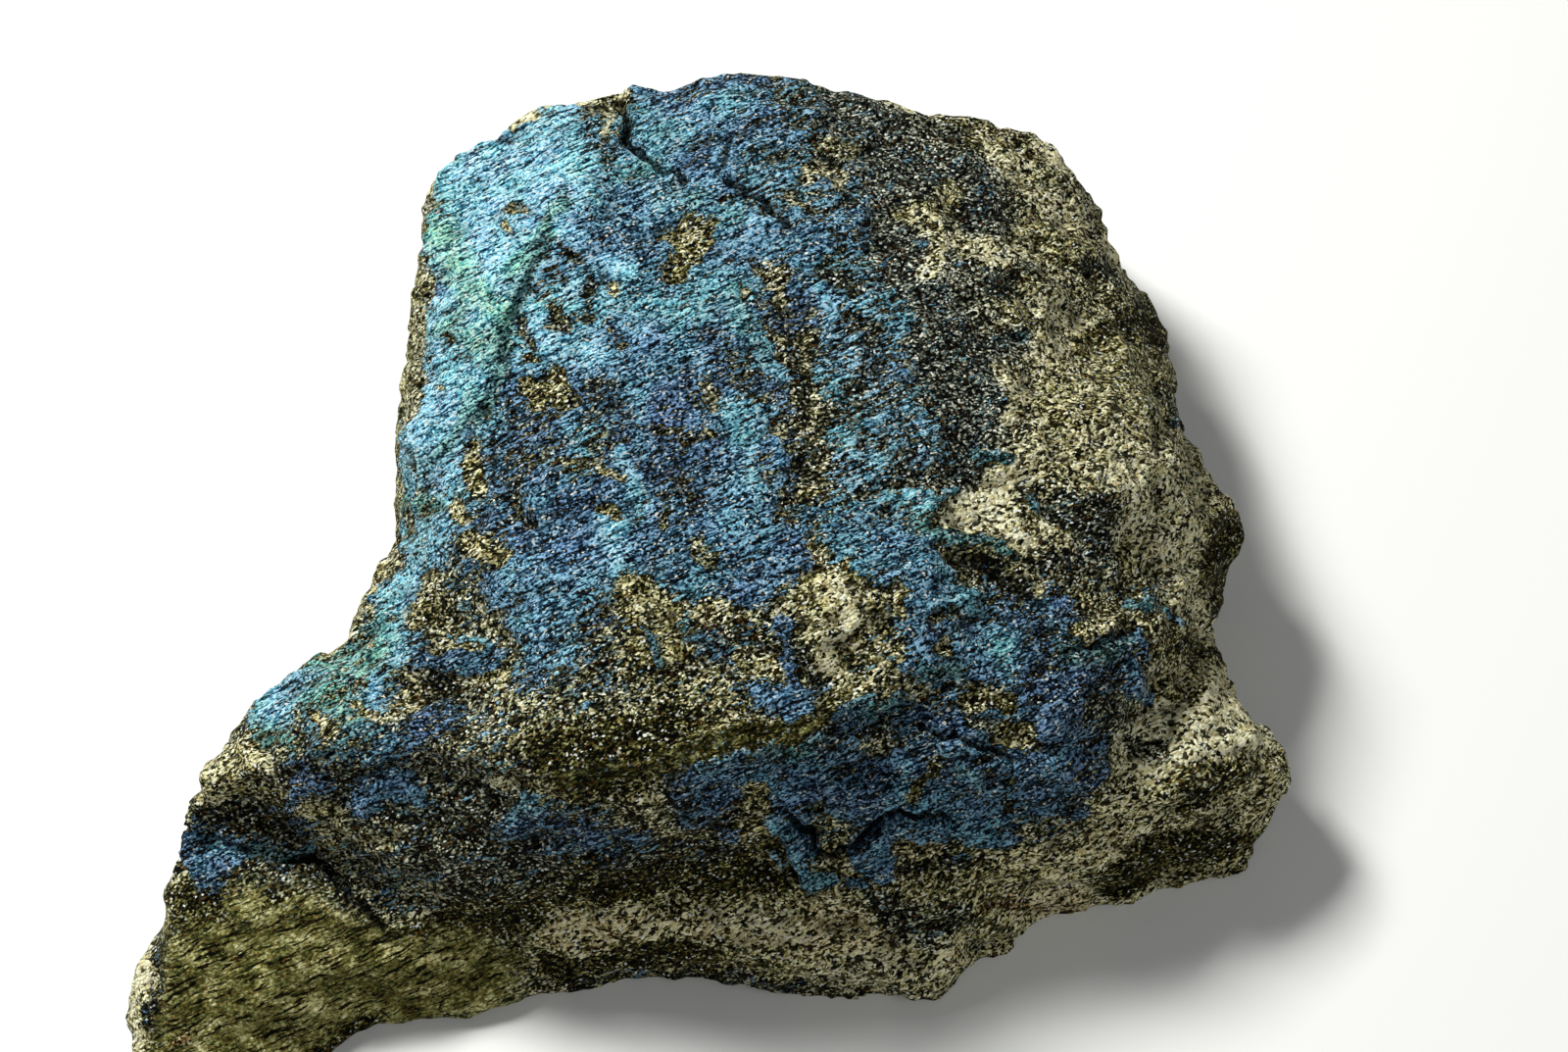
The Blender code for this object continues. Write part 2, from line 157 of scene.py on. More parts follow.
# Each stroke is (finish, half of its width, points that it runs through), and lies over those before it.
STROKES = [
    # bare rock of the right side
    ("grey dolerite", 16, [(20, 34), (30, 18), (36, 2)]),
    ("tan dolerite", 7.0, [(30, 12), (38, 6), (41, -1)]),
    ("pale dolerite", 3.0, [(33, 7), (38, 4), (39.6, 0), (41, -6)]),
    ("streaked dolerite", 6.4, [(9, 41), (9.6, 32), (13.4, 22), (17, 15), (17.6, 9)]),
    ("streaked dolerite", 2.6, [(15.6, 36), (20, 34.6), (21, 31.6)]),
    ("dark dolerite", 1.0, [(12.8, 40.8), (17, 39.6)]),
    ("olive dolerite", 1.2, [(12.6, 31.4), (16.8, 34)]),
    ("pale dolerite", 1.2, [(14.4, 31), (15.2, 28.6), (14.8, 26)]),
    ("pale dolerite", 1.1, [(20.6, 38.6), (23, 36.4), (25, 35.4)]),
    ("pale dolerite", 1.6, [(25.8, 33.4), (29.2, 32)]),
    ("pale dolerite", 1.2, [(18, 29), (21, 28.6), (24, 28.2)]),
    ("cream feldspar", 0.5, [(20, 27.6), (21.6, 26.4), (23.6, 26.2)]),
    ("olive dolerite", 1.6, [(25.6, 30), (29.4, 28.8)]),
    ("dark dolerite", 1.0, [(19, 25), (23, 24.4), (25, 26)]),
    ("dark dolerite", 0.9, [(30, 26.6), (33.6, 25.4)]),
    ("olive dolerite", 1.1, [(23, 22.4), (25.4, 21)]),
    ("pale dolerite", 1.2, [(26.6, 23), (29.4, 21)]),
    ("pale dolerite", 1.0, [(31, 20.6), (34.2, 20.4)]),
    ("pale dolerite", 1.3, [(28.4, 19.4), (26.4, 17)]),
    ("cream feldspar", 0.4, [(29.8, 20), (30.4, 18.8)]),
    ("pale dolerite", 1.3, [(22.4, 15), (24.4, 13.6), (23.6, 12)]),
    ("streaked dolerite", 1.4, [(21.6, 18.6), (24, 19)]),
    ("dark olive", 1.2, [(30.6, 18.4), (34, 20), (37, 21.8), (39.6, 19.6)]),
    ("olive dolerite", 3.2, [(34, 16), (39.4, 14)]),
    ("black dolerite", 0.9, [(38.4, 13.6), (40.2, 10.8)]),
    ("cream feldspar", 0.35, [(31.8, 9.8), (32.6, 7.8), (33.8, 6.4), (34.6, 4.8)]),
    ("pale dolerite", 1.6, [(33, -1), (36, 2.4), (39, 6)]),
    ("dark dolerite", 2.0, [(28.6, 2), (32, 0.6), (31.6, -3.6)]),
    ("cream feldspar", 0.35, [(36.8, -0.6), (38.8, -2.8)]),
    ("dark olive", 1.8, [(45.6, -0.6), (44.8, -4), (43.8, -9)]),
    ("olive dolerite", 2.6, [(41, -13), (45.4, -15.4)]),
    ("pale dolerite", 1.0, [(39.4, -4.6), (41.6, -8), (43.4, -11)]),
    ("cream feldspar", 0.5, [(42, -10.2), (43, -11.2)]),
    ("dark olive", 0.8, [(40, -11.8), (43.6, -13.6)]),
    # the front foot and its toe
    ("umber dolerite", 9, [(36, -31), (28, -35)]),
    ("tan dolerite", 6.5, [(42, -30), (48, -29)]),
    ("olive dolerite", 5.5, [(-20, -42), (-8, -41), (4, -41), (17, -41)]),
    # olive rock with painted shade, darker along the recess under the front's brow
    ("dark olive", 3.4, [(-42, -39), (-30, -38), (-18, -37), (-9, -35.4), (-2, -36)]),
    ("olive dolerite", 2.4, [(6, -38), (14, -36.5), (24, -35.6)]),
    ("umber dolerite", 2.6, [(-22, -42), (-10, -41), (-2, -40.6), (9, -42), (16, -44)]),
    ("pale dolerite", 0.9, [(-14, -41.4), (-10, -41.6)]),
    ("pale dolerite", 1.2, [(-5, -40.2), (1, -40)]),
    ("pale dolerite", 0.9, [(5, -44.6), (11, -44.4), (15, -45)]),
    ("dark dolerite", 1.6, [(9.6, -38), (14, -41.6), (18, -39.6)]),
    ("dark olive", 1.4, [(-24, -44.6), (-14, -43.8), (-7, -44)]),
    # a black line along the toe's foot: painted shadow where the stone meets the table
    ("black dolerite", 0.7, [(-22, -46.2), (-10, -46.2), (2, -46.8)]),
    ("pale dolerite", 1.2, [(3, -45.6), (10, -45.4), (15, -45.8)]),
    ("rust stain", 0.6, [(20.4, -39.4), (24, -39)]),
    ("rust stain", 0.5, [(29, -33.6), (33, -35)]),
    ("tan dolerite", 2.2, [(23, -32.6), (29, -32), (35, -30.6)]),
    ("dark olive", 1.8, [(33, -36.6), (38, -33.8), (47, -32)]),
    ("pale dolerite", 0.5, [(29.6, -36.2), (32.8, -34.4), (36.1, -31.8), (40, -29.6), (44.1, -28.8)]),
    # the pale shelf at the right corner; its cream is partly the rock's own colour and partly painted
    # highlight where the facet faces the light
    ("tan dolerite", 3.4, [(33.6, -25), (37, -26.4), (40, -27)]),
    ("pale dolerite", 4.0, [(36.6, -20.4), (40, -18.4), (46, -19)]),
    ("cream feldspar", 4.2, [(37.4, -21), (43, -20.6), (45.6, -18.8)]),
    ("cream feldspar", 1.4, [(46, -20.4), (49, -22)]),
    ("cream feldspar", 0.9, [(41.4, -23.6), (44, -22.4)]),
    ("dark dolerite", 0.7, [(35.4, -22), (38.4, -22.6)]),
    ("olive dolerite", 1.2, [(38, -16.6), (41.6, -16)]),
    ("tan dolerite", 2.0, [(41, -27.6), (44.6, -25.4), (48.6, -25.4)]),
    ("dark olive", 0.7, [(41.6, -29), (45, -26.4), (48, -25)]),
    ("dark olive", 0.6, [(40.6, -26.6), (43.6, -24.6), (47, -23.6)]),
    # the foot block at the front left
    ("worn dolerite", 9, [(-56, -47), (-46, -46.4)]),
    ("worn dolerite", 5, [(-60, -52), (-48, -48), (-32, -46)]),
    ("dark olive", 1.5, [(-60, -58), (-50, -56), (-42, -52)]),
    ("dark olive", 1.9, [(-62, -37.8), (-57.4, -37.8), (-54, -36.8)]),
    ("worn dolerite", 1.7, [(-55, -37.8), (-49.4, -36.9), (-47, -38.5), (-44, -40.7), (-41.6, -43.4)]),
    ("worn crest", 0.8, [(-53.4, -35.8), (-48.6, -36.2), (-46.4, -38.0), (-43.6, -39.6)]),
    ("dark olive", 0.6, [(-52.6, -38.6), (-50.8, -38)]),
    ("rust stain", 0.6, [(-62.4, -52.6), (-60.4, -52.4)]),
    ("pale dolerite", 1.0, [(-64.6, -40), (-66.4, -48), (-67, -54)]),
    ("black dolerite", 0.6, [(-63.8, -42), (-64.8, -50)]),
    ("cream feldspar", 0.7, [(-65.8, -44), (-66.6, -51)]),
    # the dark lower left of the face and the wall under it
    ("dark dolerite", 8, [(-50, -27), (-38, -26), (-24, -24)]),
    ("dark dolerite", 5, [(-54, -31), (-40, -34), (-28, -33)]),
    ("tan dolerite", 2.0, [(-58.4, -26.4), (-54, -23.4)]),
    ("brown dolerite", 1.6, [(-56, -28), (-52.6, -27.6)]),
    ("black dolerite", 1.5, [(-59, -29.6), (-52, -30)]),
    ("stained dolerite", 5, [(-34, -19), (-28, -22), (-20, -24)]),
    ("thin slate crust", 2.0, [(-46, -22), (-40, -22), (-34, -19.6)]),
    ("thin slate crust", 2.2, [(-49, -26), (-47, -31)]),
    ("deep crust", 1.7, [(-42.6, -27), (-40, -26), (-38, -26.6)]),
    ("violet crust", 1.0, [(-41.6, -26.6), (-37.6, -27)]),
    ("tan dolerite", 1.3, [(-48.2, -28.2), (-45.6, -29)]),
    ("stained tan", 1.6, [(-46.6, -31.8), (-43, -32.4), (-40, -32)]),
    ("stained dolerite", 1.8, [(-45, -35), (-40, -37), (-36, -38.6)]),
    ("pale dolerite", 0.5, [(-40, -39.6), (-37, -39.8)]),
    ("navy crust", 2.2, [(-60, -32.6), (-57.4, -33.4), (-58.4, -35)]),
    ("royal crust", 1.2, [(-60, -34), (-57, -33.6)]),
    ("light crust", 0.7, [(-57.4, -32.4), (-55.8, -33.2)]),
    ("bottle crust", 1.2, [(-54, -32.8), (-49.4, -33.2)]),
    ("black dolerite", 1.4, [(-36, -31.4), (-31, -32.6)]),
    ("thin navy crust", 2.8, [(-26, -30), (-22, -31.6), (-15.6, -32.4)]),
    ("thin slate crust", 1.2, [(-23.6, -30.4), (-18.6, -31.8)]),
    ("teal crust", 0.6, [(-26.8, -28.8), (-25.4, -29.2)]),
    ("bottle crust", 0.8, [(-25, -28.2), (-20, -28.2)]),
    ("olive dolerite", 0.9, [(-26.4, -26.6), (-23, -26.4), (-20.8, -26.2)]),
    ("dark olive", 1.5, [(-21, -26.6), (-14, -25.8), (-9, -24)]),
    ("pale dolerite", 1.0, [(-29.4, -26.2), (-27.6, -26)]),
    ("stained tan", 1.4, [(-29, -22.4), (-26, -24.6), (-24, -23.4)]),
    # the crust over the face
    ("mottled crust", 6, [(-22, 36), (-24, 26), (-25, 18), (-28, 8), (-32, -2)]),
    ("mid crust", 8, [(-10, 38), (-12, 30), (-10, 20)]),
    ("patchy crust", 4, [(3, 41), (4.4, 34), (6, 26), (8, 18), (11, 10)]),
    ("mid crust", 5, [(-16, 26), (-12, 20), (-10, 14)]),
    ("deep crust", 8, [(-16, 8), (-8, 6), (-16, 0)]),
    ("thin slate crust", 4.4, [(-25, 10), (-23, 4), (-19, 9)]),
    ("violet crust", 7, [(-22, -3), (-12, -1), (-2, -1)]),
    ("thin slate crust", 3.4, [(-30, 9), (-29, 3), (-31, -4)]),
    ("streaked crust", 4, [(-3, 43), (0, 41), (-1, 36)]),
    ("streaked crust", 3.4, [(-12, 44), (-6, 43.4)]),
    ("mid crust", 3.4, [(7, -1), (12, -2), (14, -3.6)]),
    ("violet crust", 3.4, [(12, -4), (14, -8), (15, -13)]),
    ("violet crust", 4.4, [(-26, -6), (-23, -11), (-23, -14)]),
    ("thin slate crust", 3.0, [(-17.6, -8), (-19, -12), (-21, -17)]),
    # light and dark within it, upper part
    ("mid crust", 2.4, [(-19, 36), (-18, 32), (-14, 30)]),
    ("light crust", 1.2, [(-14.6, 39.6), (-11.6, 41.4), (-7.6, 42.6)]),
    ("light crust", 0.9, [(-13, 38.4), (-9, 39.4), (-5.6, 40.6)]),
    ("light crust", 0.7, [(-5, 45.4), (-5.6, 42.6)]),
    ("slate crust", 1.2, [(-11, 44.6), (-6, 45.2), (-2, 45)]),
    ("slate crust", 1.0, [(-4.4, 40), (-1, 41.4), (2, 43)]),
    ("patchy crust", 2.6, [(2, 44.6), (4, 40), (3.4, 37)]),
    ("streaked dolerite", 1.4, [(4, 44), (6, 41), (5.4, 38)]),
    ("teal crust", 2.0, [(-14.4, 35.4), (-12.4, 33.4), (-9.8, 33.4)]),
    ("light crust", 0.7, [(-6, 37.4), (-6.8, 35.4)]),
    ("thin slate crust", 1.2, [(-19.6, 39.6), (-18.4, 38)]),
    ("slate crust", 1.1, [(-9.6, 37.6), (-8, 38.4)]),
    ("slate crust", 0.9, [(-5, 34.6), (-2.4, 33.6)]),
    ("thin crust", 0.8, [(-6.4, 33), (-3.6, 31.6)]),
    ("light crust", 2.6, [(-5.4, 30.4), (-3.4, 28.8), (-1.4, 29)]),
    ("light crust", 1.6, [(-6.6, 25.6), (-4, 24.6), (-2.6, 23)]),
    ("streaked crust", 1.8, [(-0.6, 36), (0.6, 32.6), (3, 29)]),
    ("slate crust", 1.0, [(0.8, 29.4), (1.6, 26), (1.6, 23)]),
    ("violet crust", 1.6, [(3.4, 28.6), (4, 25), (4.6, 22)]),
    ("light crust", 1.8, [(-17, 23.6), (-11, 22.6), (-6, 21.6)]),
    ("bright crust", 1.3, [(-16.4, 18.8), (-12.6, 20.8), (-7, 22.4)]),
    ("light crust", 0.7, [(-12, 24.2), (-8, 24.6)]),
    ("deep crust", 1.8, [(-18, 29), (-15, 27.6), (-14, 25)]),
    ("light crust", 2.0, [(-20.6, 19.6), (-17.6, 18), (-19, 16)]),
    ("sky crust", 1.2, [(-23.8, 29.8), (-21.4, 28.4)]),
    ("sky crust", 1.0, [(-25.4, 21.6), (-24.2, 20.2)]),
    ("sky crust", 1.0, [(-20.6, 18.2), (-19.4, 16.4)]),
    ("sky crust", 0.8, [(-18.6, 27.2), (-16.4, 26.4)]),
    ("light crust", 1.4, [(-10.6, 19.6), (-8.4, 17.6), (-9.4, 14.6)]),
    ("violet crust", 1.8, [(-13.6, 18.4), (-11.8, 15)]),
    ("teal crust", 1.4, [(-4.8, 23.4), (-3, 20), (-1.6, 17), (-0.4, 15.4)]),
    ("teal crust", 0.7, [(-3.6, 22), (-1.4, 18.4)]),
    ("streaked crust", 1.6, [(4.4, 20.6), (5, 16.4), (5.6, 13)]),
    ("flecked blue crust", 2.0, [(6, 26), (8, 24), (10.4, 21)]),
    ("flecked blue crust", 2.2, [(6.4, 19), (9, 16.4), (9.6, 13)]),
    ("light crust", 0.6, [(10.4, 20.4), (11.6, 21)]),
    ("light crust", 0.5, [(3.6, 23.4), (4.4, 22)]),
    ("thin slate crust", 1.0, [(-1.6, 23), (0, 21.4), (1.8, 20.8)]),
    ("black dolerite", 0.9, [(1, 18.6), (2.2, 15), (2, 11.6)]),
    ("black dolerite", 0.9, [(6.4, 20.6), (9, 19.6)]),
    ("dark dolerite", 0.9, [(4.4, 25.6), (7, 24)]),
    ("thin slate crust", 1.0, [(-7.4, 19.6), (-6, 17.4), (-5.6, 15.6)]),
    ("stained dolerite", 1.1, [(-8, 15), (-7.4, 12.6)]),
    # the middle of the face
    ("slate crust", 3.0, [(-11.6, 13.6), (-10.4, 8), (-10.6, 2.6)]),
    ("slate crust", 1.6, [(-15.6, 12), (-14, 9)]),
    ("thin slate crust", 1.5, [(-19, 13.4), (-16.6, 12.6), (-17.4, 10)]),
    ("thin slate crust", 1.2, [(-5.4, 15), (-2, 14)]),
    ("thin slate crust", 1.0, [(-0.6, 13.6), (0.6, 11.4)]),
    ("light crust", 1.3, [(-5.4, 12), (-4, 9), (-4, 5), (-3.6, 2)]),
    ("bright crust", 0.5, [(-4.6, 8.6), (-3.6, 4.6)]),
    ("light crust", 0.9, [(-5.6, 6.4), (-5.4, 4.2)]),
    ("light crust", 1.0, [(-3, 10.4), (-1.4, 11.4)]),
    ("light crust", 1.0, [(-0.4, 7.8), (1.6, 7.2)]),
    ("mid crust", 1.8, [(-4.4, 1), (-3, -1.4)]),
    ("black dolerite", 1.0, [(1.6, 9.6), (2.6, 6), (3, 2.6)]),
    ("thin crust", 1.4, [(-1.6, 5.4), (0, 3), (0.6, 1)]),
    ("brown dolerite", 0.6, [(2, 4.2), (3.2, 4)]),
    ("stained tan", 0.8, [(2.6, -0.8), (3.6, -2.6)]),
    ("flecked blue crust", 3.0, [(6.6, 9.4), (10, 9.6), (13.4, 8.6)]),
    ("flecked blue crust", 2.4, [(6.6, 5), (10, 4), (12, 2.4)]),
    ("flecked sky crust", 0.6, [(6, 8.6), (7.2, 7)]),
    ("flecked sky crust", 0.5, [(9, 6.6), (12, 8), (14.2, 8.6)]),
    ("bright crust", 1.1, [(12.8, 3.2), (14.4, 3.4)]),
    ("teal crust", 0.6, [(15, 2.4), (17.4, 3.6)]),
    ("bottle crust", 0.9, [(13.4, 0.6), (16.6, 0)]),
    ("sky crust", 1.7, [(-17.4, 0.2), (-17.6, -2.2)]),
    ("bright crust", 0.8, [(-17, -3.4), (-16.2, -5.8)]),
    ("bright crust", 0.7, [(-16.6, 6.6), (-16.2, 5.6)]),
    ("light crust", 1.0, [(-16, 5), (-15.4, 1.6)]),
    ("mid crust", 1.0, [(-14.4, 14), (-14, 8)]),
    ("streaked crust", 1.4, [(-21.6, 10.6), (-20.6, 6.4)]),
    ("mid crust", 2.2, [(-28, -5.4), (-24, -5.4), (-20.4, -6.6)]),
    ("mid crust", 0.8, [(-27.6, -7), (-23, -7.6)]),
    ("light crust", 0.7, [(-26.6, -10), (-23.6, -11)]),
    ("mid crust", 1.6, [(-24.6, -12.4), (-22.4, -14), (-23.4, -17)]),
    ("deep crust", 2.2, [(-12.4, -2), (-9, -4), (-9, -6.4)]),
    ("violet crust", 2.4, [(-5, -3.4), (-3, -5.4)]),
    ("mid crust", 1.0, [(-7, 1.4), (-5.4, -1.4)]),
    ("stained dolerite", 0.8, [(-8.6, -2.4), (-7.4, -3.6)]),
    # rock that shows through the face
    ("thin crust", 0.7, [(-27.2, 25), (-25.4, 24)]),
    ("black dolerite", 0.5, [(-25.6, 26.2), (-22.6, 25.2)]),
    ("black dolerite", 0.7, [(-20.4, 24.6), (-19.6, 21.4)]),
    ("black dolerite", 0.7, [(-23.2, 22.8), (-22.4, 20.6)]),
    ("black dolerite", 0.6, [(-26.8, 20.8), (-24.8, 18.8)]),
    ("thin crust", 0.9, [(-17, 20), (-16, 17.6)]),
    ("brown dolerite", 0.6, [(-26, 17.6), (-24.4, 17)]),
    ("thin crust", 0.7, [(-22.6, 28.4), (-21, 27)]),
    ("pale dolerite", 0.3, [(-23.7, 21.2), (-23.3, 21)]),
    ("cream feldspar", 0.35, [(-18.2, 24.2), (-17.4, 24.2)]),
    ("pale dolerite", 0.3, [(-4.3, 23.6), (-3.9, 23.5)]),
    ("cream feldspar", 0.3, [(-18, 41.4), (-17.8, 40.4)]),
    ("brown dolerite", 0.5, [(-18.6, 42.8), (-16.6, 43.2)]),
    ("thin crust", 0.8, [(-20, 38.4), (-17.4, 37.6)]),
    ("pale dolerite", 0.5, [(0.8, 34.2), (2.6, 33)]),
    ("pale dolerite", 0.5, [(2.6, 36.4), (5.6, 35.8)]),
    ("stained tan", 1.2, [(4.6, 38.8), (6.6, 38.2)]),
    ("black dolerite", 0.7, [(-12.4, 9.6), (-9.4, 8)]),
    ("brown dolerite", 0.5, [(-7.8, 9.4), (-7.2, 9.2)]),
    ("black dolerite", 0.9, [(-11, 4.6), (-9, 2)]),
    ("thin crust", 1.0, [(-25.6, 6.6), (-22, 5)]),
    ("thin crust", 0.9, [(-19.4, 9), (-20.4, 6)]),
    ("black dolerite", 0.8, [(-27.4, 2.6), (-26.4, 1)]),
    ("tan dolerite", 0.5, [(-18.8, 5.6), (-17, 4.4)]),
    ("brown dolerite", 0.6, [(-18.4, 1.8), (-17.2, 1.4)]),
    ("brown dolerite", 0.5, [(-12.2, 0.4), (-11.8, -0.2)]),
    ("brown dolerite", 1.3, [(-32, 8.4), (-31.2, 5)]),
    ("tan dolerite", 0.8, [(-33.8, 2.4), (-32.8, 1.4)]),
    ("brown dolerite", 1.3, [(-31.6, -1.6), (-29.4, -3)]),
    ("pale dolerite", 0.4, [(-31.8, -1.6), (-30.6, -3.8)]),
    ("stained dolerite", 1.6, [(-33.4, -5.6), (-32, -9)]),
    ("tan dolerite", 0.9, [(-36.4, -5.6), (-35.4, -7)]),
    ("brown dolerite", 1.3, [(-37.2, -9.2), (-35.6, -9.8)]),
    ("navy crust", 1.5, [(-37, -13), (-30, -12.8)]),
    ("deep crust", 0.8, [(-33, -13.8), (-29.6, -13.6)]),
    ("bright crust", 0.35, [(-33.6, -11), (-30.6, -11.2)]),
    ("tan dolerite", 0.3, [(-35.6, -12), (-33, -12), (-31, -11.9)]),
    ("cream feldspar", 0.45, [(-37.8, -15.6), (-36.6, -15.2)]),
    ("black dolerite", 1.0, [(-35, -16), (-31, -17.4)]),
    ("tan dolerite", 0.6, [(-29.4, -15.4), (-28.4, -15.8)]),
    ("tan dolerite", 0.9, [(-39.6, -18.4), (-37.8, -17.4)]),
    ("pale dolerite", 0.9, [(-27.2, -18.2), (-24.6, -18.4)]),
    ("stained tan", 1.6, [(-25.6, -20), (-23.6, -22.6)]),
    ("cream feldspar", 0.4, [(-27, -18), (-26, -17.8)]),
    # the bare zone in the lower middle
    ("stained dolerite", 6, [(-14, -13), (-8, -15.6), (-12, -19), (-22, -21)]),
    ("dark olive", 2.6, [(-24, -22.6), (-16, -22), (-10, -20.6)]),
    ("stained tan", 2.2, [(-14.6, -7.4), (-12.6, -10), (-14, -13)]),
    ("olive dolerite", 1.4, [(-14.6, -6.6), (-12, -9.4)]),
    ("olive dolerite", 1.4, [(-14.4, -12.4), (-10.6, -12.8)]),
    ("stained tan", 2.4, [(-9.4, -17), (-5, -17.8)]),
    ("tan dolerite", 1.0, [(-8.4, -8.8), (-5.8, -8.4)]),
    ("thin slate crust", 1.4, [(-7.6, -11), (-6.4, -13.6)]),
    ("teal crust", 0.5, [(-10.2, -9.4), (-9.6, -9.8)]),
    ("bottle crust", 0.7, [(-13.6, -11.2), (-12.6, -13.6)]),
    ("black dolerite", 0.8, [(-12.6, -14.8), (-10.6, -14)]),
    ("stained dolerite", 1.6, [(-4.6, -11.6), (-1, -11)]),
    ("tan dolerite", 0.9, [(-4.6, -13.6), (-1.4, -13.6)]),
    ("black dolerite", 0.5, [(-5.2, -11.2), (-0.6, -12.6)]),
    ("slate crust", 1.0, [(-0.4, -10), (0.6, -14)]),
    ("violet crust", 1.8, [(-2.6, -17), (0.4, -17.4), (2.4, -18)]),
    ("slate crust", 0.9, [(1, -15), (3.6, -16.4)]),
    ("olive dolerite", 3.2, [(4.4, -7.4), (7, -7.6), (6, -11)]),
    ("pale dolerite", 1.9, [(4.8, -6.4), (7, -7.6), (6, -10)]),
    ("cream feldspar", 0.8, [(6.2, -7), (6.4, -9.6)]),
    ("stained tan", 1.6, [(8.6, -12), (7, -14.4)]),
    ("pale dolerite", 1.0, [(4.2, -12), (4.8, -15)]),
    ("cream feldspar", 0.5, [(4.6, -13), (4.4, -14.6)]),
    ("olive dolerite", 0.8, [(11, -6.4), (12, -8.2)]),
    ("stained tan", 1.3, [(11.6, -11), (11, -13)]),
    ("olive dolerite", 1.3, [(5, -18.4), (7.6, -17)]),
    ("brown dolerite", 0.8, [(10.4, -16.6), (11.4, -17)]),
    ("olive dolerite", 0.8, [(-14.6, -24.6), (-10, -22.6), (-5, -21), (0, -20.4), (4.6, -20)]),
    ("bottle crust", 1.4, [(6, -19.6), (9, -18), (11.6, -17.8)]),
    ("black dolerite", 0.9, [(2, -12.4), (2.6, -15), (3.4, -16)]),
    # the dark crust over the front
    ("navy crust", 5, [(-2, -25.6), (8, -25), (18, -22), (28, -18)]),
    ("navy crust", 4.6, [(4, -29.6), (14, -28), (24, -27)]),
    ("thin navy crust", 4.6, [(24, -9), (30, -13), (33, -15)]),
    ("thin navy crust", 2.4, [(-10, -28.4), (-5, -30)]),
    ("bottle crust", 1.6, [(-8, -23.4), (-2, -22.4), (4, -22)]),
    ("worn ridge", 1.2, [(-22, -25.8), (-15, -24.8), (-9, -22.8), (-3, -21.2), (3, -20.6)]),
    ("royal crust", 1.6, [(-8, -26.6), (-2, -25.4), (3, -26)]),
    ("mid crust", 0.6, [(-3.6, -25.4), (-1, -26.6), (1.4, -26.4)]),
    ("thin navy crust", 2.2, [(6, -22.4), (10, -21.6)]),
    ("stained dolerite", 1.6, [(9, -22.4), (13, -21.6)]),
    ("royal crust", 1.2, [(14.4, -19.6), (18.8, -20.4)]),
    ("deep crust", 1.2, [(14, -22.6), (20, -23.6)]),
    ("royal crust", 0.8, [(24, -17.8), (23.6, -20)]),
    ("mid crust", 0.8, [(11.6, -24.4), (12.6, -26.6)]),
    ("royal crust", 1.3, [(12.6, -28.6), (16.4, -28.4)]),
    ("thin navy crust", 2.6, [(31, -21), (30.4, -25), (28.6, -29)]),
    ("royal crust", 1.8, [(27.6, -20.6), (26.8, -24), (26.4, -28)]),
    ("mid crust", 0.9, [(27.6, -22), (26.6, -24.6)]),
    ("royal crust", 1.1, [(10, -28), (10.4, -31), (9, -33.6)]),
    ("deep crust", 1.2, [(16, -31.4), (20, -31), (22.6, -32)]),
    ("thin navy crust", 2.0, [(20, -25.6), (22.6, -27.4)]),
    ("teal crust", 0.4, [(17.8, -25.6), (19.6, -26)]),
    ("royal crust", 0.9, [(26, -7.4), (28.8, -7.8)]),
    ("stained dolerite", 1.6, [(30, -5.2), (34, -5.4), (37.6, -7)]),
    ("bottle crust", 0.8, [(35.4, -7.6), (38.8, -8.2)]),
    ("light crust", 0.6, [(39.2, -8.8), (40.2, -9.6)]),
    ("royal crust", 0.8, [(36.2, -11.2), (37.4, -12.6)]),
    ("royal crust", 0.9, [(35.4, -14.6), (36.8, -17.6)]),
    ("bottle crust", 0.8, [(28.4, -12.8), (32, -12.6), (35.4, -11.8)]),
    ("brown dolerite", 0.6, [(30.4, -11.2), (33, -10), (35.4, -9.6)]),
    ("pale dolerite", 0.35, [(30.6, -11.4), (33, -10.6)]),
    ("dark dolerite", 1.6, [(32, -18), (34.6, -19.6)]),
    ("brown dolerite", 1.3, [(18.4, -17.8), (20.4, -17.2), (22.4, -18)]),
    ("brown dolerite", 1.0, [(22.6, -21.2), (24.6, -21.4)]),
    ("dark dolerite", 0.9, [(18.6, -20.2), (21, -20.8)]),
    ("stained dolerite", 1.0, [(13.2, -27.6), (14.8, -25)]),
    ("dark olive", 0.7, [(13.6, -27.4), (14.8, -25.4)]),
    ("brown dolerite", 1.7, [(-3.4, -28.2), (-2.8, -30.4)]),
    # a black line in the crease under the front: painted shade
    ("black dolerite", 0.8, [(-16, -34.4), (-9, -33.4), (-6, -33)]),
    ("black dolerite", 0.8, [(11, -35.4), (20, -34)]),
    ("black dolerite", 0.9, [(0.6, -29.4), (3.8, -29)]),
    ("bright crust", 0.6, [(-1.6, -29.6), (-0.8, -30.6)]),
    ("sky crust", 0.35, [(-0.8, -30.4), (-0.4, -31.2)]),
    ("royal crust", 1.6, [(1.4, -30.4), (2.4, -32.6)]),
    ("stained tan", 1.2, [(3.6, -30.8), (6, -31.6), (5.2, -33)]),
    ("rim crust", 0.8, [(0.6, -31), (1.2, -33.6), (2, -35.8), (3.4, -36.8), (4.6, -36.4)]),
    ("deep crust", 0.9, [(6.6, -36.6), (7.8, -36.4)]),
    ("light crust", 0.35, [(-1, -34.2), (-0.4, -35)]),
    ("royal crust", 1.1, [(8, -34), (10.4, -34.4)]),
    ("brown dolerite", 1.0, [(12, -32.4), (13.2, -33.4)]),
    ("stained dolerite", 1.4, [(24.6, -31), (28, -30.4)]),
    # the blue below the cream hollow, and the hollow
    ("mid crust", 2.6, [(10.4, -2.6), (14, -4.6), (16.6, -8), (18, -12)]),
    ("light crust", 2.1, [(15.2, -6.2), (17.4, -8.6), (19.4, -10.8)]),
    ("mid crust", 2.0, [(18.6, -11.4), (20.4, -13.2), (22.4, -13.4)]),
    ("mid crust", 1.0, [(17.4, -12.4), (22, -11.2)]),
    ("mid crust", 1.2, [(11.6, -3), (16, -4)]),
